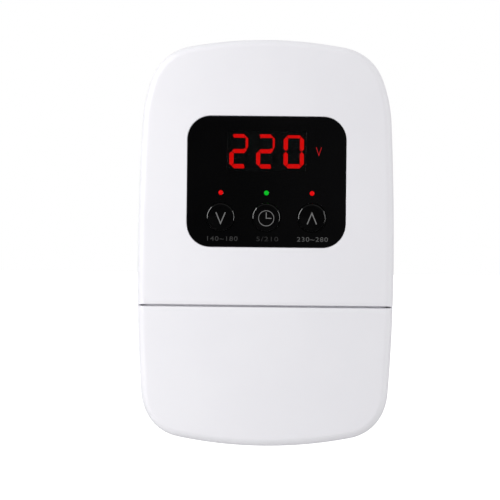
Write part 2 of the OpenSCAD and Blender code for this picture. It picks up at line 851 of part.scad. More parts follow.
module push_switches() {
    color("silver") stand() for (x = button_xs) difference() {
        translate([x - switch_w / 2, button_rise - switch_w / 2, z_board])
            cube([switch_w, switch_w, switch_h]);
        post(plunger_r + plunger_gap, [x, button_rise],
            z_board + switch_h - plunger_in - button_travel - plunger_gap, z_board + switch_h + over);
    }
}

module display_board() {
    middle = (display_board_low + display_board_high) / 2;
    color("darkgreen") stand() difference() {
        slab(display_board_w, display_board_high - display_board_low, [0, middle],
            z_board_back, z_board, window_round);
        for (p = display_posts) post(small_screw[0] + hole_gap, p, z_board_back - over, z_board + over);
    }
}

module display_screws() {
    color("silver") stand() for (p = display_posts)
        translate([p[0], p[1], z_board_back]) screw(small_screw, display_screw_len);
}

module controller_chip() {
    color([0.1, 0.1, 0.1]) stand()
        translate([-chip_size[0] / 2, display_board_low + display_post_in, z_board_back - chip_size[2]])
            cube(chip_size);
}

module main_board() {
    middle = (main_low + main_high) / 2;
    color("darkgreen") stand() difference() {
        slab(2 * main_half_w, main_high - main_low, [0, middle], main_back, main_front, window_round);
        for (p = main_posts) post(small_screw[0] + hole_gap, p, main_back - over, main_front + over);
    }
}

module board_screws() {
    color("silver") stand() for (p = main_posts)
        translate([p[0], p[1], main_front]) rotate([180, 0, 0]) screw(small_screw, board_screw_len);
}

// The ribbon leaves the main board's socket, bows upwards and comes back to the display board's socket
module ribbon_cable() {
    low = [main_socket_y, main_front + socket_size[2]];
    high = [display_socket_y, z_board_back - socket_size[2]];
    bow_up = (high[1] - low[1]) * ribbon_bend_share;
    path = [for (i = [0:ribbon_steps]) let (t = i / ribbon_steps)
        low + [(high[0] - low[0]) * t * t * (3 - 2 * t) + bow_up * sin(180 * t), (high[1] - low[1]) * t]];
    color("lightgray") stand() translate([ribbon_x - ribbon_w / 2, 0, 0])
        rotate([90, 0, 90]) linear_extrude(ribbon_w)
            polygon(concat(path, [for (i = [ribbon_steps:-1:0]) path[i] + [ribbon_t, 0]]));
}

module ribbon_sockets() {
    inset = [(ribbon_w - socket_size[0]) / 2, (ribbon_t - socket_size[1]) / 2];
    color("ivory") stand() {
        translate([ribbon_x - ribbon_w / 2 + inset[0], main_socket_y + inset[1], main_front])
            cube(socket_size);
        translate([ribbon_x - ribbon_w / 2 + inset[0], display_socket_y + inset[1],
            z_board_back - socket_size[2]]) cube(socket_size);
    }
}

module power_relay() {
    color("royalblue") stand() slab(relay_w, relay_h, [relay_left + relay_w / 2, relay_low + relay_h / 2],
        main_front, main_front + relay_d, window_round);
}

module dropper_capacitor() {
    color("gold") stand() translate([relay_left, relay_high + part_gap, main_front]) cube(dropper_size);
}

// A can with the crimped groove near its foot
module smoothing_capacitor() {
    groove = smoother_h * smoother_groove_share;
    neck = smoother_r * smoother_neck_share;
    color("midnightblue") stand() translate([smoother_x, smoother_y, main_front]) rotate_extrude()
        polygon([[0, 0], [smoother_r, 0], [smoother_r, groove], [neck, groove + smoother_r - neck],
            [smoother_r, groove + 2 * (smoother_r - neck)], [smoother_r, smoother_h - smoother_r + neck],
            [neck, smoother_h], [0, smoother_h]]);
}

// A disc on edge, with two leads down to the board
module surge_varistor() {
    color("steelblue") stand() translate([varistor_x, varistor_y, main_front]) {
        translate([0, varistor_t / 2, varistor_lift + varistor_r])
            rotate([90, 0, 0]) cylinder(r = varistor_r, h = varistor_t);
        for (x = [-1, 1]) translate([x * varistor_r / 2, 0, 0])
            cylinder(r = varistor_lead_r, h = varistor_lift + varistor_r);
    }
}

module glass_fuse() {
    color("lightcyan") stand() upright_rod(fuse_r, [fuse_x, fuse_out], fuse_low, fuse_len);
}

// Spring clips: a U of strip under each end of the fuse
module fuse_clips() {
    half = fuse_r + clip_t;
    gap_r = fuse_r + thread_gap;
    color("silver") stand() for (y = [fuse_low, fuse_low + fuse_len - clip_len]) difference() {
        translate([fuse_x - half, y, main_front]) cube([2 * half, clip_len, clip_h + fuse_r / 2]);
        upright_rod(gap_r, [fuse_x, fuse_out], y - over, clip_len + 2 * over);
        translate([fuse_x - gap_r, y - over, fuse_out])
            cube([2 * gap_r, clip_len + 2 * over, clip_h + over]);
    }
}

// A copper bar from a terminal bay up to the main board, bent down onto the board
module riser_bar(x) {
    low = block_low + wall;
    knee = main_low - bar_bend;
    out = block_floor;
    foot = bar_foot + bar_run;
    route = [[low, out], [knee, out], [bar_foot, main_front], [foot, main_front],
        [foot, main_front + strip_t], [bar_foot + strip_t / 2, main_front + strip_t],
        [knee + strip_t / 2, out + strip_t], [low, out + strip_t]];
    color("peru") stand() difference() {
        translate([x - strip_w / 2, 0, 0]) rotate([90, 0, 90]) linear_extrude(strip_w) polygon(route);
        post(terminal_screw[0] + hole_gap, [x, screw_y], out - over, out + strip_t + over);
    }
}

module live_in_bar() { riser_bar(pole_xs[0]); }
module live_out_bar() { riser_bar(pole_xs[3]); }

// The neutral link: a leg in each middle bay, joined above the block
module neutral_bar() {
    low = block_low + wall;
    join_low = block_top + neutral_gap;
    color("peru") stand() difference() {
        translate([0, 0, block_floor]) linear_extrude(strip_t) {
            for (x = [pole_xs[1], pole_xs[2]])
                translate([x - strip_w / 2, low]) square([strip_w, join_low + strip_w / 2 - low]);
            translate([pole_xs[1] - strip_w / 2, join_low])
                square([pole_xs[2] - pole_xs[1] + strip_w, strip_w / 2]);
        }
        for (x = [pole_xs[1], pole_xs[2]])
            post(terminal_screw[0] + hole_gap, [x, screw_y],
                block_floor - over, block_floor + strip_t + over);
    }
}

module terminal_block() {
    color([0.12, 0.12, 0.13]) stand() difference() {
        union() {
            translate([-block_half, block_low, block_back]) cube([2 * block_half, block_h, slab_d]);
            for (i = [0:poles])
                translate([-block_half + i * pole_pitch, block_low, block_floor - over])
                    cube([barrier_t, block_h, barrier_d + over]);
            translate([-block_half - ear_w, block_low, block_back])
                cube([2 * (block_half + ear_w), ear_h, ear_t]);
        }
        for (x = pole_xs)
            post(terminal_screw[0] + thread_gap, [x, screw_y], block_floor - terminal_bite - thread_gap,
                block_floor + over);
        for (x = [-1, 1]) post(small_screw[0] + hole_gap, [x * (block_half + ear_w / 2), ear_y()],
            block_back - over, block_back + ear_t + over);
    }
}

module terminal_screws() {
    seat = block_floor + strip_t + washer_t;
    color("silver") stand() for (x = pole_xs) translate([x, screw_y, seat])
        rotate([180, 0, 0]) screw(terminal_screw, terminal_bite + strip_t + washer_t);
}

module terminal_washers() {
    color("gainsboro") stand() for (x = pole_xs) difference() {
        translate([x - washer_w / 2, screw_y - washer_w / 2, block_floor + strip_t])
            cube([washer_w, washer_w, washer_t]);
        post(terminal_screw[0] + hole_gap, [x, screw_y],
            block_floor, block_floor + strip_t + washer_t + over);
    }
}

module block_screws() {
    color("silver") stand() for (x = [-1, 1])
        translate([x * (block_half + ear_w / 2), ear_y(), block_back + ear_t])
            rotate([180, 0, 0]) screw(small_screw, ear_t + block_pad);
}

module cable_clamps() {
    color("whitesmoke") stand() for (x = [-cable_x, cable_x]) difference() {
        translate([x - saddle_half, saddle_low, cable_out]) cube([2 * saddle_half, saddle_t, clamp_d]);
        upright_rod(cable_r, [x, cable_out], saddle_low - over, saddle_t + 2 * over);
        for (s = [-1, 1])
            post(small_screw[0] + hole_gap, [x + s * clamp_screw_x, saddle_low + saddle_t / 2],
                cable_out - over, cable_out + clamp_d + over);
    }
}

module clamp_screws() {
    color("silver") stand() for (x = [-cable_x, cable_x]) for (s = [-1, 1])
        translate([x + s * clamp_screw_x, saddle_low + saddle_t / 2, cable_out + clamp_d])
            rotate([180, 0, 0]) screw(small_screw, clamp_screw_len);
}

// A grommet: two lips with the groove between them that the cable wall's hole sits in
module grommet(x) {
    low = flange_low - grommet_lip_t - seat_gap;
    high = flange_low + flange_t + seat_gap;
    color([0.2, 0.2, 0.2]) stand() translate([x, 0, cable_out]) rotate([-90, 0, 0]) rotate_extrude()
        polygon([[cable_r, low], [grommet_lip_r - grommet_lip_t / 2, low],
            [grommet_lip_r, low + grommet_lip_t / 2], [grommet_lip_r, low + grommet_lip_t],
            [grommet_r, low + grommet_lip_t], [grommet_r, high],
            [grommet_lip_r, high], [grommet_lip_r, high + grommet_lip_t / 2],
            [grommet_lip_r - grommet_lip_t / 2, high + grommet_lip_t], [cable_r, high + grommet_lip_t]]);
}

module supply_grommet() { grommet(-cable_x); }
module load_grommet() { grommet(cable_x); }

back_base();
upper_housing();
terminal_cover();
cover_screw();
housing_screws();
control_panel();
display_window();
display_module();
display_segments();
low_voltage_lamp();
delay_lamp();
high_voltage_lamp();
down_button();
timer_button();
up_button();
down_plunger();
timer_plunger();
up_plunger();
push_switches();
display_board();
display_screws();
controller_chip();
main_board();
board_screws();
ribbon_cable();
ribbon_sockets();
power_relay();
dropper_capacitor();
smoothing_capacitor();
surge_varistor();
glass_fuse();
fuse_clips();
live_in_bar();
live_out_bar();
neutral_bar();
terminal_block();
terminal_screws();
terminal_washers();
block_screws();
cable_clamps();
clamp_screws();
supply_grommet();
load_grommet();
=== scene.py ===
import json
import math

import bmesh
import bpy
from mathutils import Matrix, Vector


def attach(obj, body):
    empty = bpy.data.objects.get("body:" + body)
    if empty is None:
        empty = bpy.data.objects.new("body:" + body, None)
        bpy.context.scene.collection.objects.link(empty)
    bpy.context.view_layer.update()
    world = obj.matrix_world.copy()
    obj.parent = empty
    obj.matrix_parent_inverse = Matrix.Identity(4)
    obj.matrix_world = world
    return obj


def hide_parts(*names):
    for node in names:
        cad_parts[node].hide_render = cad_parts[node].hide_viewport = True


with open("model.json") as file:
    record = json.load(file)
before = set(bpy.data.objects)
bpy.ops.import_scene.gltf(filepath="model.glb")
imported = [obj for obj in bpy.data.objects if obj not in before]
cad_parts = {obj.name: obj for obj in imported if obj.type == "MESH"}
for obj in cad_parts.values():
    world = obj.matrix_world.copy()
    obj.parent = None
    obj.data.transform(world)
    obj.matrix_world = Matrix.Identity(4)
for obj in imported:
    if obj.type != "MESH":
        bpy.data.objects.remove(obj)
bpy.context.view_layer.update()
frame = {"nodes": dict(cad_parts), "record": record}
scene = bpy.context.scene

# Sizes are millimetres in the plan of the case: x to the right, y up the wall, z out of the wall.
# place() turns them into the frame's metres.
millimetre = 0.001
tiny = 0.0000005  # points that are nearer than this are merged


def place(x, y, z):
    return Vector((x, -z, y)) * millimetre


# The case as a whole, which every outer piece is fitted to
case = {
    "halfWidth": 51,
    "halfHeight": 80.5,
    "depth": 46,
    "waist": -9,
    "crownRise": 3.4,
    "wall": 2.2,
    "edgeIn": 3,
    "edgeBack": 3.8,
    "draft": 0.4,
    "topCorner": 20,
    "topShoulder": 57,
    "bottomCorner": 18,
    "bottomShoulder": 24,
    "topTurns": (10.5, 69, 87.2),
    "bottomTurns": (11.3, 69.2, 85.8),
    "split": -24.955,
    "splitGap": 0.4,
    "shellBack": 12.3,
    "seat": 41.2,
}
bowRadius = (case["halfWidth"] ** 2 + case["crownRise"] ** 2) / (2 * case["crownRise"])


# How far the bowed front falls back beside its middle
def bowDrop(x):
    return bowRadius - math.sqrt(bowRadius * bowRadius - x * x)


# Height of the front, or of a surface that lies a little under it
def front(x, sink=0):
    return case["depth"] - sink - bowDrop(x)


# Sine and cosine of an angle in degrees
def heading(turn):
    return math.sin(math.radians(turn)), math.cos(math.radians(turn))


print("stage: outlines")
outline = {
    "arcSteps": (20, 36, 14, 14),
    "sideSteps": 6,
    "splitSteps": 36,
    "cornerSteps": 16,
    "halvings": 40,
}


# The four tangent arcs of a quarter outline, from its crown to its side
def quarterArcs(half, tall, corner, shoulder, turns):
    (s0, c0), (s1, c1), (s2, c2) = [heading(turn) for turn in turns]
    across = half - corner * (s1 - s0) - shoulder * (s2 - s1)
    up = tall - corner * (c0 - c1) - shoulder * (c1 - c2)
    solve = s0 * c2 - (1 - s2) * (1 - c0)
    radii = [(across * c2 - up * (1 - s2)) / solve, corner, shoulder, (up * s0 - across * (1 - c0)) / solve]
    stops = [0, *turns, 90]
    x, y = 0, tall - radii[0]
    arcs = []
    for i, radius in enumerate(radii):
        if i:
            dx, dy = heading(stops[i])
            x, y = x + (radii[i - 1] - radius) * dx, y + (radii[i - 1] - radius) * dy
        arcs.append((x, y, radius, stops[i], stops[i + 1]))
    return arcs


topArcs = quarterArcs(case["halfWidth"], case["halfHeight"] - case["waist"], case["topCorner"],
                      case["topShoulder"], case["topTurns"])
bottomArcs = quarterArcs(case["halfWidth"], case["halfHeight"] + case["waist"], case["bottomCorner"],
                         case["bottomShoulder"], case["bottomTurns"])


# Points along an arc that is moved in by an inset; the sign is 1 above the waist and -1 below it
def arcRun(arc, inset, start, end, steps, sign):
    x, y, radius = arc[:3]
    points = []
    for i in range(1, steps + 1):
        dx, dy = heading(start + (end - start) * i / steps)
        points.append((x + (radius - inset) * dx, case["waist"] + sign * (y + (radius - inset) * dy)))
    return points


# Turn and place of the lower side arc at a height
def sideTurn(y, inset):
    return math.degrees(math.acos((case["waist"] - y) / (bottomArcs[3][2] - inset)))


def sideX(y, inset):
    return bottomArcs[3][0] + (bottomArcs[3][2] - inset) * math.sin(math.radians(sideTurn(y, inset)))


# Right half of the upper outline, from its crown down to the parting line and in to the middle
def upperHalf(inset, low):
    points = [(0, case["halfHeight"] - inset)]
    for arc, steps in zip(topArcs, outline["arcSteps"]):
        points += arcRun(arc, inset, arc[3], arc[4], steps, 1)
    points += arcRun(bottomArcs[3], inset, 90, sideTurn(low, inset), outline["sideSteps"], -1)
    count = outline["splitSteps"]
    return points + [(sideX(low, inset) * (1 - i / count), low) for i in range(1, count + 1)]


# Right half of the lower outline, from the middle of the parting line out and round to the foot
def coverHalf(inset, high):
    count = outline["splitSteps"]
    points = [(sideX(high, inset) * i / count, high) for i in range(count + 1)]
    side = bottomArcs[3]
    points += arcRun(side, inset, sideTurn(high, inset), side[3], outline["arcSteps"][3], -1)
    for arc, steps in zip(bottomArcs[2::-1], outline["arcSteps"][2::-1]):
        points += arcRun(arc, inset, arc[4], arc[3], steps, -1)
    return points


# A half outline with its mirror image
def closed(half):
    return half + [(-x, y) for x, y in half[-2:0:-1]]


def circle(radius, middle, steps):
    turns = [2 * math.pi * i / steps for i in range(steps)]
    return [(middle[0] + radius * math.cos(turn), middle[1] + radius * math.sin(turn)) for turn in turns]


# A rectangle with round corners, about its middle
def roundRect(width, height, radius, middle):
    points, steps = [], outline["cornerSteps"]
    for quarter, (sx, sy) in enumerate(((1, 1), (-1, 1), (-1, -1), (1, -1))):
        corner = (middle[0] + sx * (width / 2 - radius), middle[1] + sy * (height / 2 - radius))
        for i in range(steps + 1):
            turn = math.radians(90 * (quarter + i / steps))
            points.append((corner[0] + radius * math.cos(turn), corner[1] + radius * math.sin(turn)))
    return points


# Where the ray from a rounded rectangle's middle towards a point leaves the rectangle
def rectEdge(point, width, height, radius, middle):
    dx, dy = point[0] - middle[0], point[1] - middle[1]
    low, high = 0, 1
    for _ in range(outline["halvings"]):
        share = (low + high) / 2
        x, y = abs(dx * share), abs(dy * share)
        corner = math.hypot(max(x - width / 2 + radius, 0), max(y - height / 2 + radius, 0))
        inside = corner < radius and x < width / 2 and y < height / 2
        low, high = (share, high) if inside else (low, share)
    return middle[0] + dx * low, middle[1] + dy * low


# Starts from one ring and grows a wall from it: each new ring is the last one extruded and moved.
# Gives the edges of the first and the last ring.
def growWall(mesh, rings):
    verts = [mesh.verts.new(place(*point)) for point in rings[0]]
    edges = [mesh.edges.new(pair) for pair in zip(verts, verts[1:] + verts[:1])]
    start = edges
    for ring in rings[1:]:
        made = bmesh.ops.extrude_edge_only(mesh, edges=edges)["geom"]
        fresh = {item for item in made if isinstance(item, bmesh.types.BMVert)}
        verts = [next(edge.other_vert(vert) for edge in vert.link_edges if edge.other_vert(vert) in fresh)
                 for vert in verts]
        for vert, point in zip(verts, ring):
            vert.co = place(*point)
        edges = [mesh.edges.get(pair) for pair in zip(verts, verts[1:] + verts[:1])]
    return start, edges


# Closes a ring, flat or drawn out to a tip
def closeRing(mesh, edges, tip=None):
    made = bmesh.ops.contextual_create(mesh, geom=edges)
    if tip:
        bmesh.ops.poke(mesh, faces=made["faces"])["verts"][0].co = place(*tip)


def loft(mesh, rings, tip=None):
    start, end = growWall(mesh, rings)
    closeRing(mesh, start)
    closeRing(mesh, end, tip)


# A flat outline pulled straight out from one height to another
def prism(mesh, loop, low, high):
    base = mesh.faces.new([mesh.verts.new(place(x, y, low)) for x, y in loop])
    made = bmesh.ops.extrude_face_region(mesh, geom=[base])["geom"]
    verts = [item for item in made if isinstance(item, bmesh.types.BMVert)]
    bmesh.ops.translate(mesh, vec=place(0, 0, high - low), verts=verts)


def block(mesh, lowest, highest):
    low, high = place(*lowest), place(*highest)
    size = Matrix.Diagonal((*[abs(b - a) for a, b in zip(low, high)], 1))
    bmesh.ops.create_cube(mesh, size=1, matrix=Matrix.Translation((low + high) / 2) @ size)


# A round bar between two points
def rod(mesh, start, end, radius, steps=40):
    low, high = place(*start), place(*end)
    turn = (high - low).to_track_quat("Z", "Y").to_matrix().to_4x4()
    bmesh.ops.create_cone(mesh, cap_ends=True, segments=steps, radius1=radius * millimetre,
                          radius2=radius * millimetre, depth=(high - low).length,
                          matrix=Matrix.Translation((low + high) / 2) @ turn)


# Spins a profile of (radius, height) about an axis that stands out of the wall
def turnProfile(mesh, middle, profile, steps):
    verts = [mesh.verts.new(place(middle[0] + radius, middle[1], z)) for radius, z in profile]
    edges = [mesh.edges.new(pair) for pair in zip(verts, verts[1:])]
    bmesh.ops.spin(mesh, geom=verts + edges, cent=place(*middle, 0), axis=(0, 1, 0), angle=2 * math.pi,
                   steps=steps, use_merge=True)
    bmesh.ops.remove_doubles(mesh, verts=mesh.verts, dist=tiny)


smoothTurn = math.radians(32)  # edges that turn more than this stay sharp


def smoothed(data):
    data.shade_smooth()
    data.set_sharp_from_angle(angle=smoothTurn)
    return data


def finishMesh(mesh, name):
    bmesh.ops.recalc_face_normals(mesh, faces=mesh.faces)
    data = bpy.data.meshes.new(name)
    mesh.to_mesh(data)
    mesh.free()
    return smoothed(data)


def addPiece(name, data, material, bodyName, replaced=()):
    piece = bpy.data.objects.new(name, data)
    scene.collection.objects.link(piece)
    data.materials.clear()
    data.materials.append(material)
    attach(piece, bodyName)
    if replaced:
        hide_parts(*replaced)


# Merges points that a cut left close together, and splits the many-sided faces evenly
def mend(data):
    mesh = bmesh.new()
    mesh.from_mesh(data)
    bmesh.ops.remove_doubles(mesh, verts=mesh.verts, dist=tiny)
    bmesh.ops.dissolve_degenerate(mesh, edges=mesh.edges, dist=tiny)
    manySided = [item for item in mesh.faces if len(item.verts) > 4]
    bmesh.ops.triangulate(mesh, faces=manySided, ngon_method="BEAUTY")
    mesh.to_mesh(data)
    mesh.free()


# Cuts one closed mesh with another, or joins the two; both sources are used up
def carve(mesh, tool, operation="DIFFERENCE"):
    holders = []
    for part, label in ((mesh, "solid"), (tool, "tool")):
        data = part if isinstance(part, bpy.types.Mesh) else finishMesh(part, label)
        holders.append(bpy.data.objects.new(label, data))
        scene.collection.objects.link(holders[-1])
    cut = holders[0].modifiers.new("cut", "BOOLEAN")
    cut.operation = operation
    cut.object = holders[1]
    cut.solver = "EXACT"
    bpy.context.view_layer.update()
    graph = bpy.context.evaluated_depsgraph_get()
    result = bpy.data.meshes.new_from_object(holders[0].evaluated_get(graph))
    for holder in holders:
        bpy.data.objects.remove(holder)
    mend(result)
    return result


# Puts closed meshes together as one piece
def joined(name, parts):
    mesh = bmesh.new()
    for part in parts:
        mesh.from_mesh(part)
        bpy.data.meshes.remove(part)
    data = bpy.data.meshes.new(name)
    mesh.to_mesh(data)
    mesh.free()
    return smoothed(data)


print("stage: materials")


# A value in a node tree, so that shader maths reads as plain maths. Without a socket it is the tree alone.
class Wire:
    def __init__(self, tree, socket=None):
        self.tree = tree
        self.socket = socket

    def node(self, kind, settings, inputs, output=0):
        made = self.tree.nodes.new(kind)
        for name, value in settings.items():
            setattr(made, name, value)
        for key, value in inputs.items():
            if isinstance(value, Wire):
                self.tree.links.new(value.socket, made.inputs[key])
            else:
                made.inputs[key].default_value = value
        return Wire(self.tree, made.outputs[output])

    def maths(self, operation, *values):
        return self.node("ShaderNodeMath", {"operation": operation}, dict(enumerate(values)))

    def __add__(self, other):
        return self.maths("ADD", self, other)

    def __radd__(self, other):
        return self.maths("ADD", other, self)

    def __sub__(self, other):
        return self.maths("SUBTRACT", self, other)

    def __rsub__(self, other):
        return self.maths("SUBTRACT", other, self)

    def __mul__(self, other):
        return self.maths("MULTIPLY", self, other)

    def __rmul__(self, other):
        return self.maths("MULTIPLY", other, self)

    def ramp(self, low, high, newLow=0, newHigh=1):
        inputs = {"Value": self, "From Min": low, "From Max": high, "To Min": newLow, "To Max": newHigh}
        return self.node("ShaderNodeMapRange", {"interpolation_type": "SMOOTHSTEP"}, inputs)

    # Two colours mixed; 0, 6, 7 and 2 are the node's own numbers of its factor, colours and result
    def blend(self, first, second):
        colours = {0: self, 6: (*first, 1), 7: (*second, 1)}
        return self.node("ShaderNodeMix", {"data_type": "RGBA"}, colours, 2)

    # Clouds of a size in metres, drawn out along an axis by a stretch
    def noise(self, size, detail=3, stretch=(1, 1, 1)):
        spread = self.node("ShaderNodeVectorMath", {"operation": "MULTIPLY"}, {0: self, 1: stretch})
        return self.node("ShaderNodeTexNoise", {}, {"Vector": spread, "Scale": 1 / size, "Detail": detail})

    def bump(self, depth):
        return self.node("ShaderNodeBump", {}, {"Height": self, "Distance": depth})


def newMaterial(name):
    material = bpy.data.materials.new(name)
    material.use_nodes = True
    at = Wire(material.node_tree).node("ShaderNodeTexCoord", {}, {}, "Object")
    return material, material.node_tree.nodes["Principled BSDF"], at


def plug(shader, values):
    for name, value in values.items():
        if isinstance(value, Wire):
            value.tree.links.new(value.socket, shader.inputs[name])
        else:
            shader.inputs[name].default_value = value


# How far each kind of finish varies, and what it shares
finishing = {
    "softDetail": 4,
    "fineDetail": 2,
    "sheenShare": 0.25,
    "plasticClouds": (0.35, 0.65),
    "metalClouds": (0.3, 0.7),
    "metallic": 0.65,
    "glowClouds": (0.3, 0.7),
    "glowRoughness": 0.3,
    "glowGloss": 0.15,
    "glowDim": 0.94,
    "glowUnlit": 0.05,
    "glowSize": 0.0012,
}


# Moulded plastic: two near tones in soft clouds, a fine texture and an uneven sheen
def plastic(name, tones, roughness, grain=0.00012, depth=0.000004, clouds=0.03, **constants):
    material, shader, at = newMaterial(name)
    soft = at.noise(clouds, finishing["softDetail"])
    sheen = at.noise(clouds * finishing["sheenShare"])
    plug(shader, {
        "Base Color": soft.ramp(*finishing["plasticClouds"]).blend(*tones),
        "Roughness": roughness[0] + (roughness[1] - roughness[0]) * sheen,
        "Normal": at.noise(grain, finishing["fineDetail"]).bump(depth),
        **constants,
    })
    return material


# Metal: drawn lines along one direction, with tarnish in clouds
def metal(name, tones, roughness, stretch=(1, 1, 12), grain=0.0009, depth=0.00001, clouds=0.006):
    material, shader, at = newMaterial(name)
    soft = at.noise(clouds, finishing["softDetail"])
    lines = at.noise(grain, finishing["softDetail"], stretch)
    plug(shader, {
        "Metallic": finishing["metallic"],
        "Base Color": soft.ramp(*finishing["metalClouds"]).blend(*tones),
        "Roughness": roughness[0] + (roughness[1] - roughness[0]) * lines,
        "Normal": lines.bump(depth),
    })
    return material


# Coloured resin that lights up, a little unevenly; also used to give a print a painted glow
def glowing(name, tone, strength):
    material, shader, at = newMaterial(name)
    dimShare, unlitShare = finishing["glowDim"], finishing["glowUnlit"]
    clouds = at.noise(finishing["glowSize"], finishing["fineDetail"])
    dim = tuple(dimShare * value for value in tone)
    unlit = [tuple(share * value for value in tone) for share in (unlitShare, dimShare * unlitShare)]
    plug(shader, {
        "Base Color": clouds.blend(*unlit),
        "Roughness": finishing["glowRoughness"],
        "Specular IOR Level": finishing["glowGloss"],
        "Emission Color": clouds.ramp(*finishing["glowClouds"]).blend(dim, tone),
        "Emission Strength": strength,
    })
    return material


glossBlack = ((0.0008, 0.0008, 0.001), (0.0012, 0.0012, 0.0014))
finishes = {
    "white_plastic": plastic("whitePlastic", ((0.862, 0.854, 0.892), (0.874, 0.866, 0.902)), (0.46, 0.54),
                             **{"Specular IOR Level": 0.35}),
    "panel_black": plastic("panelBlack", glossBlack, (0.03, 0.05), 0.0006, 0.0000006),
    "smoked_window": plastic("smokedWindow", ((0.005, 0.006, 0.006), (0.006, 0.0075, 0.0075)), (0.03, 0.05),
                             0.0006, 0.0000006, Alpha=0.2),
    "module_black": plastic("moduleBlack", ((0.001, 0.0015, 0.0016), (0.0014, 0.002, 0.0022)), (0.55, 0.7),
                            **{"Specular IOR Level": 0.1}),
    "button_black": plastic("buttonBlack", glossBlack, (0.05, 0.08), 0.0004, 0.0000006),
    "segment_red": glowing("segmentRed", (1, 0.0012, 0.0006), 0.92),
    "lamp_red": glowing("lampRed", (0.78, 0.0015, 0.003), 0.95),
    "lamp_green": glowing("lampGreen", (0.002, 0.52, 0.02), 0.95),
    "plunger_black": plastic("plungerBlack", ((0.02, 0.02, 0.02), (0.03, 0.03, 0.03)), (0.5, 0.6)),
    "block_black": plastic("blockBlack", ((0.02, 0.02, 0.022), (0.03, 0.03, 0.033)), (0.45, 0.6)),
    "chip_black": plastic("chipBlack", ((0.015, 0.015, 0.016), (0.02, 0.02, 0.022)), (0.5, 0.7)),
    "board_green": plastic("boardGreen", ((0.01, 0.11, 0.04), (0.015, 0.14, 0.05)), (0.25, 0.4), 0.0005,
                           0.00001, 0.004),
    "ribbon_grey": plastic("ribbonGrey", ((0.4, 0.4, 0.42), (0.48, 0.48, 0.5)), (0.45, 0.6)),
    "socket_white": plastic("socketWhite", ((0.78, 0.75, 0.66), (0.82, 0.79, 0.7)), (0.4, 0.55)),
    "relay_blue": plastic("relayBlue", ((0.015, 0.08, 0.3), (0.02, 0.1, 0.36)), (0.2, 0.3)),
    "capacitor_yellow": plastic("capacitorYellow", ((0.72, 0.42, 0.03), (0.8, 0.48, 0.04)), (0.25, 0.35)),
    "capacitor_sleeve": plastic("capacitorSleeve", ((0.012, 0.018, 0.08), (0.018, 0.024, 0.1)),
                                (0.25, 0.35)),
    "varistor_blue": plastic("varistorBlue", ((0.03, 0.2, 0.42), (0.04, 0.24, 0.5)), (0.3, 0.45), 0.0008,
                             0.00003),
    "fuse_glass": plastic("fuseGlass", ((0.8, 0.86, 0.86), (0.84, 0.9, 0.9)), (0.03, 0.06), Alpha=0.35),
    "grommet_rubber": plastic("grommetRubber", ((0.02, 0.02, 0.02), (0.035, 0.034, 0.033)), (0.6, 0.8),
                              0.0004, 0.00001),
    "zinc_steel": metal("zincSteel", ((0.62, 0.62, 0.6), (0.74, 0.74, 0.73)), (0.25, 0.45)),
    "switch_case": metal("switchCase", ((0.6, 0.6, 0.6), (0.7, 0.7, 0.7)), (0.3, 0.4)),
    "copper": metal("copper", ((0.72, 0.34, 0.2), (0.86, 0.47, 0.31)), (0.25, 0.45), (12, 1, 1)),
}
printGreys = {
    "Bright": (0.165, 0.185),
    "Middle": (0.085, 0.1),
    "Dim": (0.03, 0.036),
    "Faint": (0.017, 0.02),
}
prints = {
    label: plastic("print" + label, ((low, low, low), (high, high, high)), (0.5, 0.6))
    for label, (low, high) in printGreys.items()
}

# The solids that keep their shape: a finish each, and rounded edges where they can be seen
edgeRounding = {
    "terminal_block": 0.3, "cable_clamps": 0.4, "back_base": 0.25, "terminal_screws": 0.12,
    "terminal_washers": 0.08, "clamp_screws": 0.1, "block_screws": 0.1, "housing_screws": 0.1,
    "cover_screw": 0.1, "live_in_bar": 0.1, "live_out_bar": 0.1, "neutral_bar": 0.1, "main_board": 0.1,
    "display_board": 0.1, "power_relay": 0.3, "dropper_capacitor": 0.5, "controller_chip": 0.1,
}
roundingSteps = 2
sharpTurn = math.radians(36)  # only edges that turn more than this are rounded
for entry in frame["record"]["subparts"]:
    solid = frame["nodes"][entry["node"]]
    solid.data.materials.clear()
    solid.data.materials.append(finishes[entry["material_slot"]])
    solid.data.shade_smooth()
    weld = solid.modifiers.new("weld", "WELD")
    weld.merge_threshold = tiny
    if entry["node"] in edgeRounding:
        rounding = solid.modifiers.new("rounding", "BEVEL")
        rounding.width = edgeRounding[entry["node"]] * millimetre
        rounding.segments = roundingSteps
        rounding.limit_method = "ANGLE"
        rounding.angle_limit = sharpTurn
        rounding.harden_normals = True
    else:
        crisp = solid.modifiers.new("crisp", "EDGE_SPLIT")
        crisp.split_angle = sharpTurn

print("stage: shells")
shells = {
    "upperEdge": 0.4,
    "coverEdge": 0.5,
    "edgeSteps": 16,
    "frontSteps": 14,
    "pocketWidth": 62.9,
    "pocketHeight": 51.9,
    "pocketRadius": 9.4,
    "pocketSink": 1.8,
    "pocketLip": 0.14,
    "lipSteps": 5,
    "floorShares": (0.75, 0.5, 0.25),
}
panelMiddle = (0, 24.1)
over = 1  # how far a cutting tool or a post runs past the face that it meets


# Rings of a shell from its back edge, up its side and over the edge rounding, to its front
def sideRings(upper, inset, sink, split, back):
    half, partingRound = (upperHalf, shells["upperEdge"]) if upper else (coverHalf, -shells["coverEdge"])
    rings = [[(x, y, back) for x, y in closed(half(inset, split))]]
    for k in range(shells["edgeSteps"] + 1):
        rise, rest = heading(90 * k / shells["edgeSteps"])
        reach = inset + case["draft"] + (case["edgeIn"] - inset) * (1 - rest)
        fall = (case["edgeBack"] - sink) * (1 - rise)
        loop = closed(half(reach, split + partingRound * (1 - rest)))
        rings.append([(x, y, front(x, sink) - fall) for x, y in loop])
    return rings


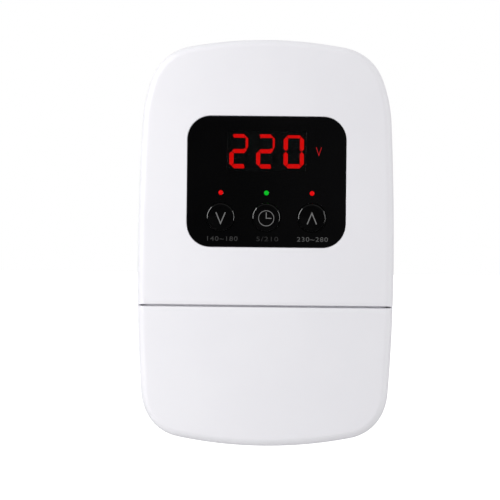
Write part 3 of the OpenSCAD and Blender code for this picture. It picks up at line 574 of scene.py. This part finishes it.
# A form with a plain bowed front
def plainForm(upper, inset, sink, split, back):
    rings = sideRings(upper, inset, sink, split, back)
    middle = (case["halfHeight"] + split) / 2 if upper else (split - case["halfHeight"]) / 2
    rim = rings[-1]
    for k in range(1, shells["frontSteps"]):
        share = 1 - k / shells["frontSteps"]
        loop = [(x * share, middle + (y - middle) * share) for x, y, _ in rim]
        rings.append([(x, y, front(x, sink)) for x, y in loop])
    mesh = bmesh.new()
    loft(mesh, rings, (0, middle, front(0, sink)))
    return mesh


# The upper form, whose front runs into the pocket that the control panel lies in
def pocketForm(split, back):
    rings = sideRings(True, 0, 0, split, back)
    rim = rings[-1]

    def pocketLoop(grow):
        width, height = shells["pocketWidth"] + 2 * grow, shells["pocketHeight"] + 2 * grow
        radius = shells["pocketRadius"] + grow
        return [rectEdge((x, y), width, height, radius, panelMiddle) for x, y, _ in rim]

    brink = pocketLoop(shells["pocketLip"])
    for k in range(1, shells["frontSteps"] + 1):
        share = k / shells["frontSteps"]
        loop = [(a[0] + (b[0] - a[0]) * share, a[1] + (b[1] - a[1]) * share) for a, b in zip(rim, brink)]
        rings.append([(x, y, front(x)) for x, y in loop])
    for k in range(1, shells["lipSteps"] + 1):
        rise, rest = heading(90 * k / shells["lipSteps"])
        loop = pocketLoop(shells["pocketLip"] * (1 - rise))
        rings.append([(x, y, front(x, shells["pocketLip"] * (1 - rest))) for x, y in loop])
    floor = pocketLoop(0)
    middle = panelMiddle[1]
    for share in (1, *shells["floorShares"]):
        loop = [(x * share, middle + (y - middle) * share) for x, y in floor]
        rings.append([(x, y, front(x, shells["pocketSink"])) for x, y in loop])
    mesh = bmesh.new()
    loft(mesh, rings, (0, middle, front(0, shells["pocketSink"])))
    return mesh


housing = {
    "towerRadius": 4,
    "towerIn": 8,
    "towerTurn": 50,
    "ribWidth": 2,
    "ribTop": 36.6,
    "postRadius": 3,
    "postBack": 36.2,
    "postPlaces": ((27, 0), (27, 49.3)),
    "notchHalf": 29.47,
    "notchDepth": 6,
    "seatRim": 2.8,
    "seatTopSink": 1.9,
    "moduleWidth": 34.6,
    "moduleHeight": 18.6,
    "lipHeight": 2.5,
    "lipWall": 1.4,
    "lipGap": 0.3,
    "lipLow": 30,
    "lipEdgeIn": 5,
    "lipEdgeBack": 6,
}
# What shows through the panel: the window, and a lamp above each of three buttons
face = {
    "windowRise": 36.3,
    "buttonRise": 10,
    "lampRise": 19.7,
    "pitch": 18,
    "buttonHole": 5.75,
    "buttonSteps": 64,
    "lampHole": 1.75,
    "lampSteps": 32,
}
columns = (-face["pitch"], 0, face["pitch"])


# Across the lip at a height: up one side, over its edge rounding, along the bow and down again
def sectionPath(y, sink, low):
    side = []
    for k in range(shells["edgeSteps"] + 1):
        rise, rest = heading(90 * k / shells["edgeSteps"])
        x = sideX(y, sink + case["draft"] + (housing["lipEdgeIn"] - sink) * (1 - rest))
        side.append((x, front(x, sink) - (housing["lipEdgeBack"] - sink) * (1 - rise)))
    path = [(side[0][0], low)] + side
    rim, count = side[-1][0], outline["splitSteps"]
    bow = [(rim * (1 - 2 * i / count), front(rim * (1 - 2 * i / count), sink)) for i in range(1, count)]
    return path + bow + [(-x, z) for x, z in path[::-1]]


# Tools for the holes under the panel
def seatHoles():
    mesh = bmesh.new()
    halfX, halfY = housing["moduleWidth"] / 2, housing["moduleHeight"] / 2
    low, high = case["seat"] - over, case["depth"]
    block(mesh, (-halfX, face["windowRise"] - halfY, low), (halfX, face["windowRise"] + halfY, high))
    for x in columns:
        for kind in ("button", "lamp"):
            rise = face[kind + "Rise"]
            rod(mesh, (x, rise, low), (x, rise, high), face[kind + "Hole"], face[kind + "Steps"])
    return mesh


# A screw tower with a rib that ties it to the wall beside it
def addTower(mesh, x, y, alongX, alongY):
    rod(mesh, (x, y, case["shellBack"]), (x, y, front(x, case["wall"] / 2)), housing["towerRadius"])
    length = housing["towerIn"] - case["wall"] / 2 - case["draft"]
    sideways = (-alongY * housing["ribWidth"] / 2, alongX * housing["ribWidth"] / 2)
    farX, farY = x + alongX * length, y + alongY * length
    corners = [(x, y, 1), (farX, farY, 1), (farX, farY, -1), (x, y, -1)]
    prism(mesh, [(cx + sign * sideways[0], cy + sign * sideways[1]) for cx, cy, sign in corners],
          case["shellBack"], housing["ribTop"])


# The plate that the panel lies on: flat behind, bowed in front, with the holes through it
def buildSeat():
    mesh = bmesh.new()
    rim = 2 * housing["seatRim"]
    width, height = shells["pocketWidth"] + rim, shells["pocketHeight"] + rim
    loop = roundRect(width, height, shells["pocketRadius"], panelMiddle)
    bowed = [(x, y, front(x, housing["seatTopSink"])) for x, y in loop]
    loft(mesh, [[(x, y, case["seat"]) for x, y in loop], bowed])
    return carve(mesh, seatHoles())


# The lip that stands down from the housing and goes under the cover
def addLip(mesh, low):
    sink = case["wall"] + housing["lipGap"]
    rings = []
    for y in (low - housing["lipHeight"], low + case["wall"] / 2):
        outer = sectionPath(y, sink, housing["lipLow"])
        inner = sectionPath(y, sink + housing["lipWall"], housing["lipLow"])
        rings.append([(x, y, z) for x, z in outer + inner[::-1]])
    loft(mesh, rings)


# What stands inside the housing: the screw towers, the posts of the display board, and the lip
def buildInside(low):
    mesh = bmesh.new()
    dx, dy = heading(housing["towerTurn"])
    reach = case["topCorner"] - housing["towerIn"]
    cornerX, cornerY = topArcs[1][0] + reach * dx, case["waist"] + topArcs[1][1] + reach * dy
    for side in (-1, 1):
        addTower(mesh, side * cornerX, cornerY, side * dx, dy)
        addTower(mesh, side * (case["halfWidth"] - housing["towerIn"]), case["waist"], side, 0)
        for x, y in housing["postPlaces"]:
            foot, top = (side * x, y, housing["postBack"]), (side * x, y, case["seat"] + over)
            rod(mesh, foot, top, housing["postRadius"])
    addLip(mesh, low)
    return finishMesh(mesh, "inside")


def buildUpperHousing():
    low, wall, back = case["split"] + case["splitGap"] / 2, case["wall"], case["shellBack"]
    shell = carve(pocketForm(low, back), plainForm(True, wall, wall, low + wall, back - over))
    notch = bmesh.new()
    half = housing["notchHalf"]
    block(notch, (-half, low - over, back - over), (half, low + wall + over, back + housing["notchDepth"]))
    shell = carve(carve(shell, notch), seatHoles())
    data = joined("upperHousing", [shell, buildSeat(), buildInside(low)])
    addPiece("upperHousing", data, finishes["white_plastic"], "case", ["upper_housing"])


cover = {
    "openingHalf": 34.4,
    "openingOut": 27.4,
    "openingHigh": -73,
    "screwOut": 30.5,
    "screwHead": 3.05,
    "screwHole": 1.7,
    "screwSeat": -78.1,
    "screwEnd": -70,
    "padHalf": 5,
    "padDepth": 7,
    "padHigh": -77.3,
    "hookBack": 13,
    "hookThick": 2.7,
    "hookLength": 9,
    "hookInner": 43.97,
    "hookTops": (-29.955, -49),
}


# Tools for the opening that the cables come through, and for the stepped hole of the cover screw
def coverHoles(bottom, back):
    mesh = bmesh.new()
    out = cover["screwOut"]
    block(mesh, (-cover["openingHalf"], bottom - over, back - over),
          (cover["openingHalf"], cover["openingHigh"], cover["openingOut"]))
    rod(mesh, (0, bottom - over, out), (0, cover["screwSeat"], out), cover["screwHead"])
    rod(mesh, (0, bottom, out), (0, cover["screwEnd"], out), cover["screwHole"])
    return mesh


# The hooks that run behind the rails of the back base
def buildHooks():
    mesh = bmesh.new()
    for side in (-1, 1):
        for top in cover["hookTops"]:
            outerX = sideX(top - cover["hookLength"] / 2, case["draft"] + case["wall"] / 2)
            block(mesh, (side * cover["hookInner"], top - cover["hookLength"], cover["hookBack"]),
                  (side * outerX, top, cover["hookBack"] + cover["hookThick"]))
    return finishMesh(mesh, "hooks")


def buildTerminalCover():
    high, wall, back = case["split"] - case["splitGap"] / 2, case["wall"], case["shellBack"]
    bottom, out, padHalf = -case["halfHeight"], cover["screwOut"], cover["padHalf"]
    hollow = plainForm(False, wall, wall, high + over, back - over)
    shell = carve(plainForm(False, 0, 0, high, back), hollow)
    pad = bmesh.new()
    block(pad, (-padHalf, bottom + wall / 2, out - cover["padDepth"] / 2),
          (padHalf, cover["padHigh"], out + cover["padDepth"] / 2))
    shell = carve(carve(shell, pad, "UNION"), coverHoles(bottom, back))
    data = joined("terminalCover", [shell, buildHooks()])
    addPiece("terminalCover", data, finishes["white_plastic"], "cover", ["terminal_cover"])


buildUpperHousing()
buildTerminalCover()

print("stage: panel")
panel = {
    "width": 62.6,
    "height": 51.5,
    "radius": 9.2,
    "sink": 0.2,
    "thick": 1.5,
    "round": 0.16,
    "windowRound": 0.05,
    "roundSteps": 5,
    "flatRings": (0.03, 0.25),
    "windowWidth": 31,
    "windowHeight": 16,
    "windowRadius": 0.8,
    "paneGap": 0.1,
    "lampHole": 0.92,
    "bendStep": 1.5,
}


def panelTop(x, y=0):
    return front(x, panel["sink"])


# A plate with rounded upper edges, made flat, cut across in narrow strips and then bent to the bow.
# Each loop is a function of how far it is moved in, with its edge rounding; the first is the outer one.
def buildPlate(name, loops, sink):
    mesh = bmesh.new()
    top, bottom = case["depth"] - sink, case["depth"] - panel["sink"] - panel["thick"]
    lower, upper = [], []
    for i, (loop, rounding) in enumerate(loops):
        sign = -1 if i else 1  # a hole grows where the outer edge shrinks
        rings = [[(x, y, bottom) for x, y in loop(0)]]
        for k in range(panel["roundSteps"] + 1):
            rise, rest = heading(90 * k / panel["roundSteps"])
            height = top - rounding * (1 - rise)
            rings.append([(x, y, height) for x, y in loop(sign * rounding * (1 - rest))])
        for reach in panel["flatRings"]:
            rings.append([(x, y, top) for x, y in loop(sign * (rounding + reach))])
        start, end = growWall(mesh, rings)
        lower += start
        upper += end
    for edges in (lower, upper):
        bmesh.ops.triangle_fill(mesh, use_beauty=True, edges=edges)
    reach = max(vert.co.x for vert in mesh.verts)
    count = int(2 * reach / (panel["bendStep"] * millimetre))
    for k in range(1, count):
        everything = mesh.verts[:] + mesh.edges[:] + mesh.faces[:]
        cut = reach * (2 * k / count - 1)
        bmesh.ops.bisect_plane(mesh, geom=everything, dist=tiny, plane_co=(cut, 0, 0), plane_no=(1, 0, 0))
    for vert in mesh.verts:
        vert.co.y += bowDrop(vert.co.x / millimetre) * millimetre
    return finishMesh(mesh, name)


def rectLoop(width, height, radius, middle):
    return lambda inset: roundRect(width - 2 * inset, height - 2 * inset, radius - inset, middle)


def circleLoop(radius, middle, steps):
    return lambda inset: circle(radius - inset, middle, steps)


def buildPanel():
    windowMiddle = (0, face["windowRise"])
    size = (panel["windowWidth"], panel["windowHeight"], panel["windowRadius"])
    rim = rectLoop(panel["width"], panel["height"], panel["radius"], panelMiddle)
    loops = [(rim, panel["round"]), (rectLoop(*size, windowMiddle), panel["windowRound"])]
    for x in columns:
        buttonLoop = circleLoop(face["buttonHole"], (x, face["buttonRise"]), face["buttonSteps"])
        lampLoop = circleLoop(panel["lampHole"], (x, face["lampRise"]), face["lampSteps"])
        loops += [(buttonLoop, panel["round"]), (lampLoop, panel["round"])]
    plate = buildPlate("controlPanel", loops, panel["sink"])
    addPiece("controlPanel", plate, finishes["panel_black"], "case", ["control_panel"])
    gap = panel["paneGap"]
    edge = rectLoop(size[0] - 2 * gap, size[1] - 2 * gap, size[2] - gap, windowMiddle)
    pane = buildPlate("displayWindow", [(edge, gap / 2)], panel["sink"] + gap / 2)
    addPiece("displayWindow", pane, finishes["smoked_window"], "case", ["display_window"])


buildPanel()

print("stage: display")
display = {
    "front": 43.447,
    "depth": 1.2,
    "stroke": 1.68,
    "gap": 0.04,
    "bluntGap": 0.16,
    "cornerShare": 0.22,
}
# Each digit: sign, middle across, middle up, width, height, outer ends of its right and left uprights
digits = (
    ("2", -11.1, 36.1, 7.35, 13.5, 1.9, 0.8),
    ("2", -0.6, 36.1, 7.35, 13.5, 1.9, 0.8),
    ("0", 10.6, 36.05, 8, 13.05, 0.9, 0.9),
)
litBars = {"2": "abged", "0": "abcdef"}


# The seven bars of a digit as outlines about its middle, by their usual letters
def digitBars(width, height, rightEnd, leftEnd):
    x, y, thick, gap = width / 2, height / 2, display["stroke"], display["gap"]
    half = thick / 2
    cutX, cutY = x - thick * (1 - display["cornerShare"]), y - thick * display["cornerShare"]

    def upright(outerEnd):
        tip = gap if outerEnd > half + gap else display["bluntGap"]
        return [(cutX + gap, cutY - gap), (x, y - thick - gap), (x, outerEnd), (x - half, tip),
                (x - thick, half + gap), (x - thick, y - thick - gap)]

    def turned(bar, sx, sy):
        return [(sx * px, sy * py) for px, py in bar]

    top = [(thick - x, y), (x - thick, y), (cutX - gap, cutY + gap), (x - thick - gap, y - thick),
           (thick + gap - x, y - thick), (gap - cutX, cutY + gap)]
    middle = [(thick + gap - x, half), (x - thick - gap, half), (x - half - gap, 0),
              (x - thick - gap, -half), (thick + gap - x, -half), (half + gap - x, 0)]
    right, left = upright(rightEnd), upright(leftEnd)
    return {"a": top, "b": right, "c": turned(right, 1, -1), "d": turned(top, 1, -1),
            "e": turned(left, -1, -1), "f": turned(left, -1, 1), "g": middle}


def buildDigits():
    mesh = bmesh.new()
    for sign, across, up, width, height, rightEnd, leftEnd in digits:
        bars = digitBars(width, height, rightEnd, leftEnd)
        for letter in litBars[sign]:
            loop = [(across + x, up + y) for x, y in bars[letter]]
            prism(mesh, loop, display["front"] - display["depth"], display["front"])
    addPiece("litDigits", finishMesh(mesh, "litDigits"), finishes["segment_red"], "case",
             ["display_segments"])


buildDigits()

print("stage: printed marks")
mark = {"lift": 0.03, "thick": 0.05, "strips": 12, "circleSteps": 72, "mergeReach": 0.0005}


# A flat strip between two points of a drawing in millimetres
def addStrip(mesh, start, end, width):
    start, end = Vector((*start, 0)), Vector((*end, 0))
    along = end - start
    turn = Matrix.Rotation(math.atan2(along.y, along.x), 4, "Z")
    size = Matrix.Diagonal((along.length / 2, width / 2, 1, 1))
    bmesh.ops.create_grid(mesh, x_segments=mark["strips"], y_segments=1, size=1,
                          matrix=Matrix.Translation((start + end) / 2) @ turn @ size)


# One leg of a chevron, cut at the middle line and mirrored
def drawChevron(halfWidth, halfHeight, width, up):
    mesh = bmesh.new()
    tip, foot = Vector((0, halfHeight)), Vector((halfWidth, -halfHeight))
    beyond = tip + (tip - foot).normalized() * width
    addStrip(mesh, beyond, foot, width)
    everything = mesh.verts[:] + mesh.edges[:] + mesh.faces[:]
    bmesh.ops.bisect_plane(mesh, geom=everything, dist=tiny, plane_co=(0, 0, 0), plane_no=(-1, 0, 0),
                           clear_outer=True)
    everything = mesh.verts[:] + mesh.edges[:] + mesh.faces[:]
    bmesh.ops.mirror(mesh, geom=everything, matrix=Matrix.Identity(4), merge_dist=mark["mergeReach"],
                     axis="X")
    if not up:
        bmesh.ops.scale(mesh, vec=(1, -1, 1), verts=mesh.verts)
    return mesh


def drawClock(radius, width, handWidth, handUp, handAcross):
    mesh = bmesh.new()
    for reach in (radius - width / 2, radius + width / 2):
        bmesh.ops.create_circle(mesh, cap_ends=False, segments=mark["circleSteps"], radius=reach)
    bmesh.ops.bridge_loops(mesh, edges=mesh.edges[:])
    half = handWidth / 2
    addStrip(mesh, (0, -half), (0, handUp), handWidth)
    addStrip(mesh, (half, 0), (handAcross, 0), handWidth)
    return mesh


# Lays a drawing on a surface as a thin print
def layPrint(name, mesh, middle, surface, material, bodyName):
    for vert in mesh.verts:
        x, y = middle[0] + vert.co.x, middle[1] + vert.co.y
        vert.co = place(x, y, surface(x, y) + mark["lift"])
    bmesh.ops.recalc_face_normals(mesh, faces=mesh.faces)
    bmesh.ops.solidify(mesh, geom=mesh.faces[:], thickness=-mark["thick"] * millimetre)
    addPiece(name, finishMesh(mesh, name), material, bodyName)


# The red unit mark is a print on the opaque panel with a painted glow: it gives off light though no lamp
# lies behind it
unit = {
    "halfWidth": 1.05,
    "halfHeight": 1.6,
    "middle": (20.5, 36.3),
    "stroke": 0.22,
    "tone": (0.5, 0.008, 0.011),
    "strength": 1,
}
unitChevron = drawChevron(unit["halfWidth"], unit["halfHeight"], unit["stroke"], False)
layPrint("paintedGlowUnitLegend", unitChevron, unit["middle"], panelTop,
         glowing("paintedGlowLegendRed", unit["tone"], unit["strength"]), "case")

rangeText = {"height": 1.8, "rise": 0.65, "bold": 0.004, "spacing": 1.15, "thick": 0.04}
# Each range: piece, numbers, middle across, width, grey
ranges = (
    ("lowRange", "140~180", -17.2, 12, "Dim"),
    ("delayRange", "5/210", 0.5, 8.6, "Faint"),
    ("highRange", "230~280", 18.3, 12.2, "Middle"),
)


# Plain numbers, turned into a mesh and laid on the panel
def printRange(name, numbers, middleX, width, grey):
    curve = bpy.data.curves.new(name, "FONT")
    curve.body = numbers
    curve.offset = rangeText["bold"]
    curve.space_character = rangeText["spacing"]
    curve.extrude = rangeText["thick"]
    holder = bpy.data.objects.new(name + "Text", curve)
    scene.collection.objects.link(holder)
    bpy.context.view_layer.update()
    data = bpy.data.meshes.new_from_object(holder.evaluated_get(bpy.context.evaluated_depsgraph_get()))
    bpy.data.objects.remove(holder)
    xs, ys = [v.co.x for v in data.vertices], [v.co.y for v in data.vertices]
    scaleX, scaleY = width / (max(xs) - min(xs)), rangeText["height"] / (max(ys) - min(ys))
    mesh = bmesh.new()
    mesh.from_mesh(data)
    bpy.data.meshes.remove(data)
    for vert in mesh.verts:
        x = middleX + (vert.co.x - (min(xs) + max(xs)) / 2) * scaleX
        y = rangeText["rise"] + (vert.co.y - min(ys)) * scaleY
        vert.co = place(x, y, panelTop(x) + vert.co.z)
    bmesh.ops.remove_doubles(mesh, verts=mesh.verts, dist=tiny)
    addPiece(name, finishMesh(mesh, name), prints[grey], "case")


for rangeEntry in ranges:
    printRange(*rangeEntry)

print("stage: buttons")
button = {
    "radius": 5.5,
    "turnSteps": 128,
    "flange": 6.6,
    "flangeThick": 0.7,
    "back": 40.4,
    "proud": 0.5,
    "round": 0.8,
    "roundSteps": 12,
    "dish": 0.25,
    "dishSteps": 10,
    "chevronStroke": 0.42,
    "ringStroke": 0.25,
    "handStroke": 0.33,
    "clockRadius": 3,
    "handUp": 2.3,
    "handAcross": 2.1,
    "chevronWidth": 1.85,
    "chevronHeight": 2.2,
    "markDrop": 0.3,
}


def buildButton(x, name, drawing):
    top, radius, rounding = front(x) + button["proud"], button["radius"], button["round"]
    ledge = button["back"] + button["flangeThick"]

    def dishTop(px, py):
        share = min(1, math.hypot(px - x, py - face["buttonRise"]) / (radius - rounding))
        return top - button["dish"] * (1 - share * share)

    back, flange = button["back"], button["flange"]
    profile = [(0, back), (flange, back), (flange, ledge), (radius, ledge)]
    for k in range(button["roundSteps"] + 1):
        rise, rest = heading(90 * k / button["roundSteps"])
        profile.append((radius - rounding * (1 - rest), top - rounding * (1 - rise)))
    for k in range(1, button["dishSteps"] + 1):
        reach = (radius - rounding) * (1 - k / button["dishSteps"])
        profile.append((reach, dishTop(x + reach, face["buttonRise"])))
    mesh = bmesh.new()
    turnProfile(mesh, (x, face["buttonRise"]), profile, button["turnSteps"])
    addPiece(name + "Button", finishMesh(mesh, name + "Button"), finishes["button_black"], name + "_key",
             [name + "_button"])
    spot = (x, face["buttonRise"] - button["markDrop"])
    layPrint(name + "Mark", drawing, spot, dishTop, prints["Bright"], name + "_key")


chevronSize = (button["chevronWidth"], button["chevronHeight"], button["chevronStroke"])
clockSize = (button["clockRadius"], button["ringStroke"], button["handStroke"], button["handUp"],
             button["handAcross"])
buildButton(columns[0], "down", drawChevron(*chevronSize, False))
buildButton(columns[1], "timer", drawClock(*clockSize))
buildButton(columns[2], "up", drawChevron(*chevronSize, True))

print("stage: lamps")
lamp = {
    "tip": 0.79,
    "turnSteps": 48,
    "body": 1.5,
    "flange": 1.9,
    "flangeThick": 1,
    "back": 36.2,
    "proud": 0.15,
    "dome": 0.4,
    "domeSteps": 9,
    "gap": 0.1,
}


def buildLamp(x, name, nodeName, slotName):
    step = front(abs(x) + lamp["body"], shells["pocketSink"]) - lamp["gap"]
    tip = panelTop(x) + lamp["proud"]
    ledge = lamp["back"] + lamp["flangeThick"]
    back, flange, body = lamp["back"], lamp["flange"], lamp["body"]
    profile = [(0, back), (flange, back), (flange, ledge), (body, ledge), (body, step), (lamp["tip"], step)]
    for k in range(lamp["domeSteps"] + 1):
        rise, rest = heading(90 * k / lamp["domeSteps"])
        profile.append((lamp["tip"] * rest, tip - lamp["dome"] * (1 - rise)))
    mesh = bmesh.new()
    turnProfile(mesh, (x, face["lampRise"]), profile, lamp["turnSteps"])
    addPiece(name, finishMesh(mesh, name), finishes[slotName], "case", [nodeName])


buildLamp(columns[0], "lowVoltageLamp", "low_voltage_lamp", "lamp_red")
buildLamp(columns[1], "delayLamp", "delay_lamp", "lamp_green")
buildLamp(columns[2], "highVoltageLamp", "high_voltage_lamp", "lamp_red")

print("stage: studio")
view = {
    "distance": 2,
    "pixelsPerMillimetre": 2.538,
    "imageWidth": 500,
    "axisX": -6.25,
    "axisY": -2.85,
    "roll": 0.6,
    "sensor": 36,
    "farthest": 100,
}
# Each lamp: place in metres, width, height, power. The soft lamps don't show in gloss, and the strips show
# in nothing else.
softLamps = {
    "key": ((-0.26, -0.22, 0.05), 0.12, 0.6, 0.535),
    "sideFill": ((1.3, -0.35, 0.05), 0.4, 1.2, 1.9),
}
stripLamps = {
    "leftStrip": ((-0.5, -0.155, 0.2), 0.1, 0.5, 3),
    "rightStrip": ((0.56, -0.155, 0.08), 0.06, 0.5, 1.6),
}
room = {
    "tent": 0.84,
    "mirrorLeft": 0.02,
    "mirrorRight": 0.06,
    "mirrorSpan": 0.3,
    "mirrorSides": (-0.7, 0.1, 0.4),
    "mirrorWhite": (0.85, 0.97),
    "floorLow": -0.2,
    "floorSize": 40,
    "floorGlow": 0.21,
    "floorNear": 0.62,
    "floorFade": (0.35, 1.2),
    "floorTones": ((0.02, 0.02, 0.02), (0.5, 0.5, 0.5)),
    "floorRoughness": 0.9,
}


def addCamera():
    data = bpy.data.cameras.new("camera")
    camera = bpy.data.objects.new("camera", data)
    scene.collection.objects.link(camera)
    camera.location = place(view["axisX"], view["axisY"], case["depth"]) - Vector((0, view["distance"], 0))
    level = Matrix.Rotation(math.pi / 2, 3, "X")
    camera.rotation_euler = (Matrix.Rotation(math.radians(-view["roll"]), 3, "Y") @ level).to_euler()
    data.sensor_width = view["sensor"]
    pixelsPerMetre = view["pixelsPerMillimetre"] / millimetre
    data.lens = pixelsPerMetre * view["distance"] / view["imageWidth"] * view["sensor"]
    data.clip_end = view["farthest"]
    scene.camera = camera


def addLamp(name, mirrored, spot, width, height, power):
    data = bpy.data.lights.new(name, "AREA")
    data.shape = "RECTANGLE"
    data.size = width
    data.size_y = height
    data.energy = power
    light = bpy.data.objects.new(name, data)
    scene.collection.objects.link(light)
    light.location = spot
    light.rotation_euler = (-Vector(spot)).to_track_quat("-Z", "Y").to_euler()
    light.visible_camera = False
    light.visible_glossy = mirrored
    light.visible_diffuse = not mirrored


# White to the camera. Mirrored rays meet white behind the object and a dark room in front of it, a little
# lighter to the right. Diffuse rays meet an even tent of light.
def addWorld():
    world = bpy.data.worlds.new("studio")
    scene.world = world
    world.use_nodes = True
    tree = Wire(world.node_tree)
    camera, glossy, through = [tree.node("ShaderNodeLightPath", {}, {}, "Is " + ray + " Ray")
                               for ray in ("Camera", "Glossy", "Transmission")]
    mirrored = glossy.maths("MAXIMUM", glossy, through)
    way = tree.node("ShaderNodeTexCoord", {}, {}, "Generated")
    across, ahead = [way.node("ShaderNodeSeparateXYZ", {}, {0: way}, axis) for axis in "XY"]
    span = room["mirrorSpan"]
    start, end, level = room["mirrorSides"]
    sides = across.ramp(-span, span, room["mirrorLeft"], room["mirrorRight"])
    dark = sides + ahead.ramp(start, end, 0, level)
    seen = dark + (1 - dark) * ahead.ramp(*room["mirrorWhite"])
    light = (room["tent"] * (1 - mirrored) + seen * mirrored) * (1 - camera) + camera
    plug(world.node_tree.nodes["Background"], {"Color": (1, 1, 1, 1), "Strength": light})


# A pale floor so far below that the camera sees only white round the case. It is black to mirrored rays,
# and clear from below.
def addFloor():
    mesh = bmesh.new()
    bmesh.ops.create_grid(mesh, x_segments=2, y_segments=2, size=room["floorSize"])
    data = bpy.data.meshes.new("floor")
    mesh.to_mesh(data)
    mesh.free()
    floor = bpy.data.objects.new("floor", data)
    scene.collection.objects.link(floor)
    floor.location = (0, 0, room["floorLow"])
    material, shader, at = newMaterial("paleFloor")
    camera = at.node("ShaderNodeLightPath", {}, {}, "Is Camera Ray")
    unmirrored = 1 - at.node("ShaderNodeLightPath", {}, {}, "Is Glossy Ray")
    away = at.node("ShaderNodeVectorMath", {"operation": "LENGTH"}, {0: at}, 1)
    underside = at.node("ShaderNodeNewGeometry", {}, {}, "Backfacing")
    shown = away.ramp(*room["floorFade"], room["floorNear"], 1) * camera + room["floorGlow"] * (1 - camera)
    plug(shader, {
        "Base Color": unmirrored.blend(*room["floorTones"]),
        "Roughness": room["floorRoughness"],
        "Emission Color": (shown * unmirrored).blend((0, 0, 0), (1, 1, 1)),
        "Emission Strength": 1,
        "Alpha": 1 - underside,
    })
    data.materials.append(material)


addCamera()
for lampSet, mirrored in ((softLamps, False), (stripLamps, True)):
    for lampName, lampValues in lampSet.items():
        addLamp(lampName, mirrored, *lampValues)
addWorld()
addFloor()
scene.view_settings.view_transform = "Standard"
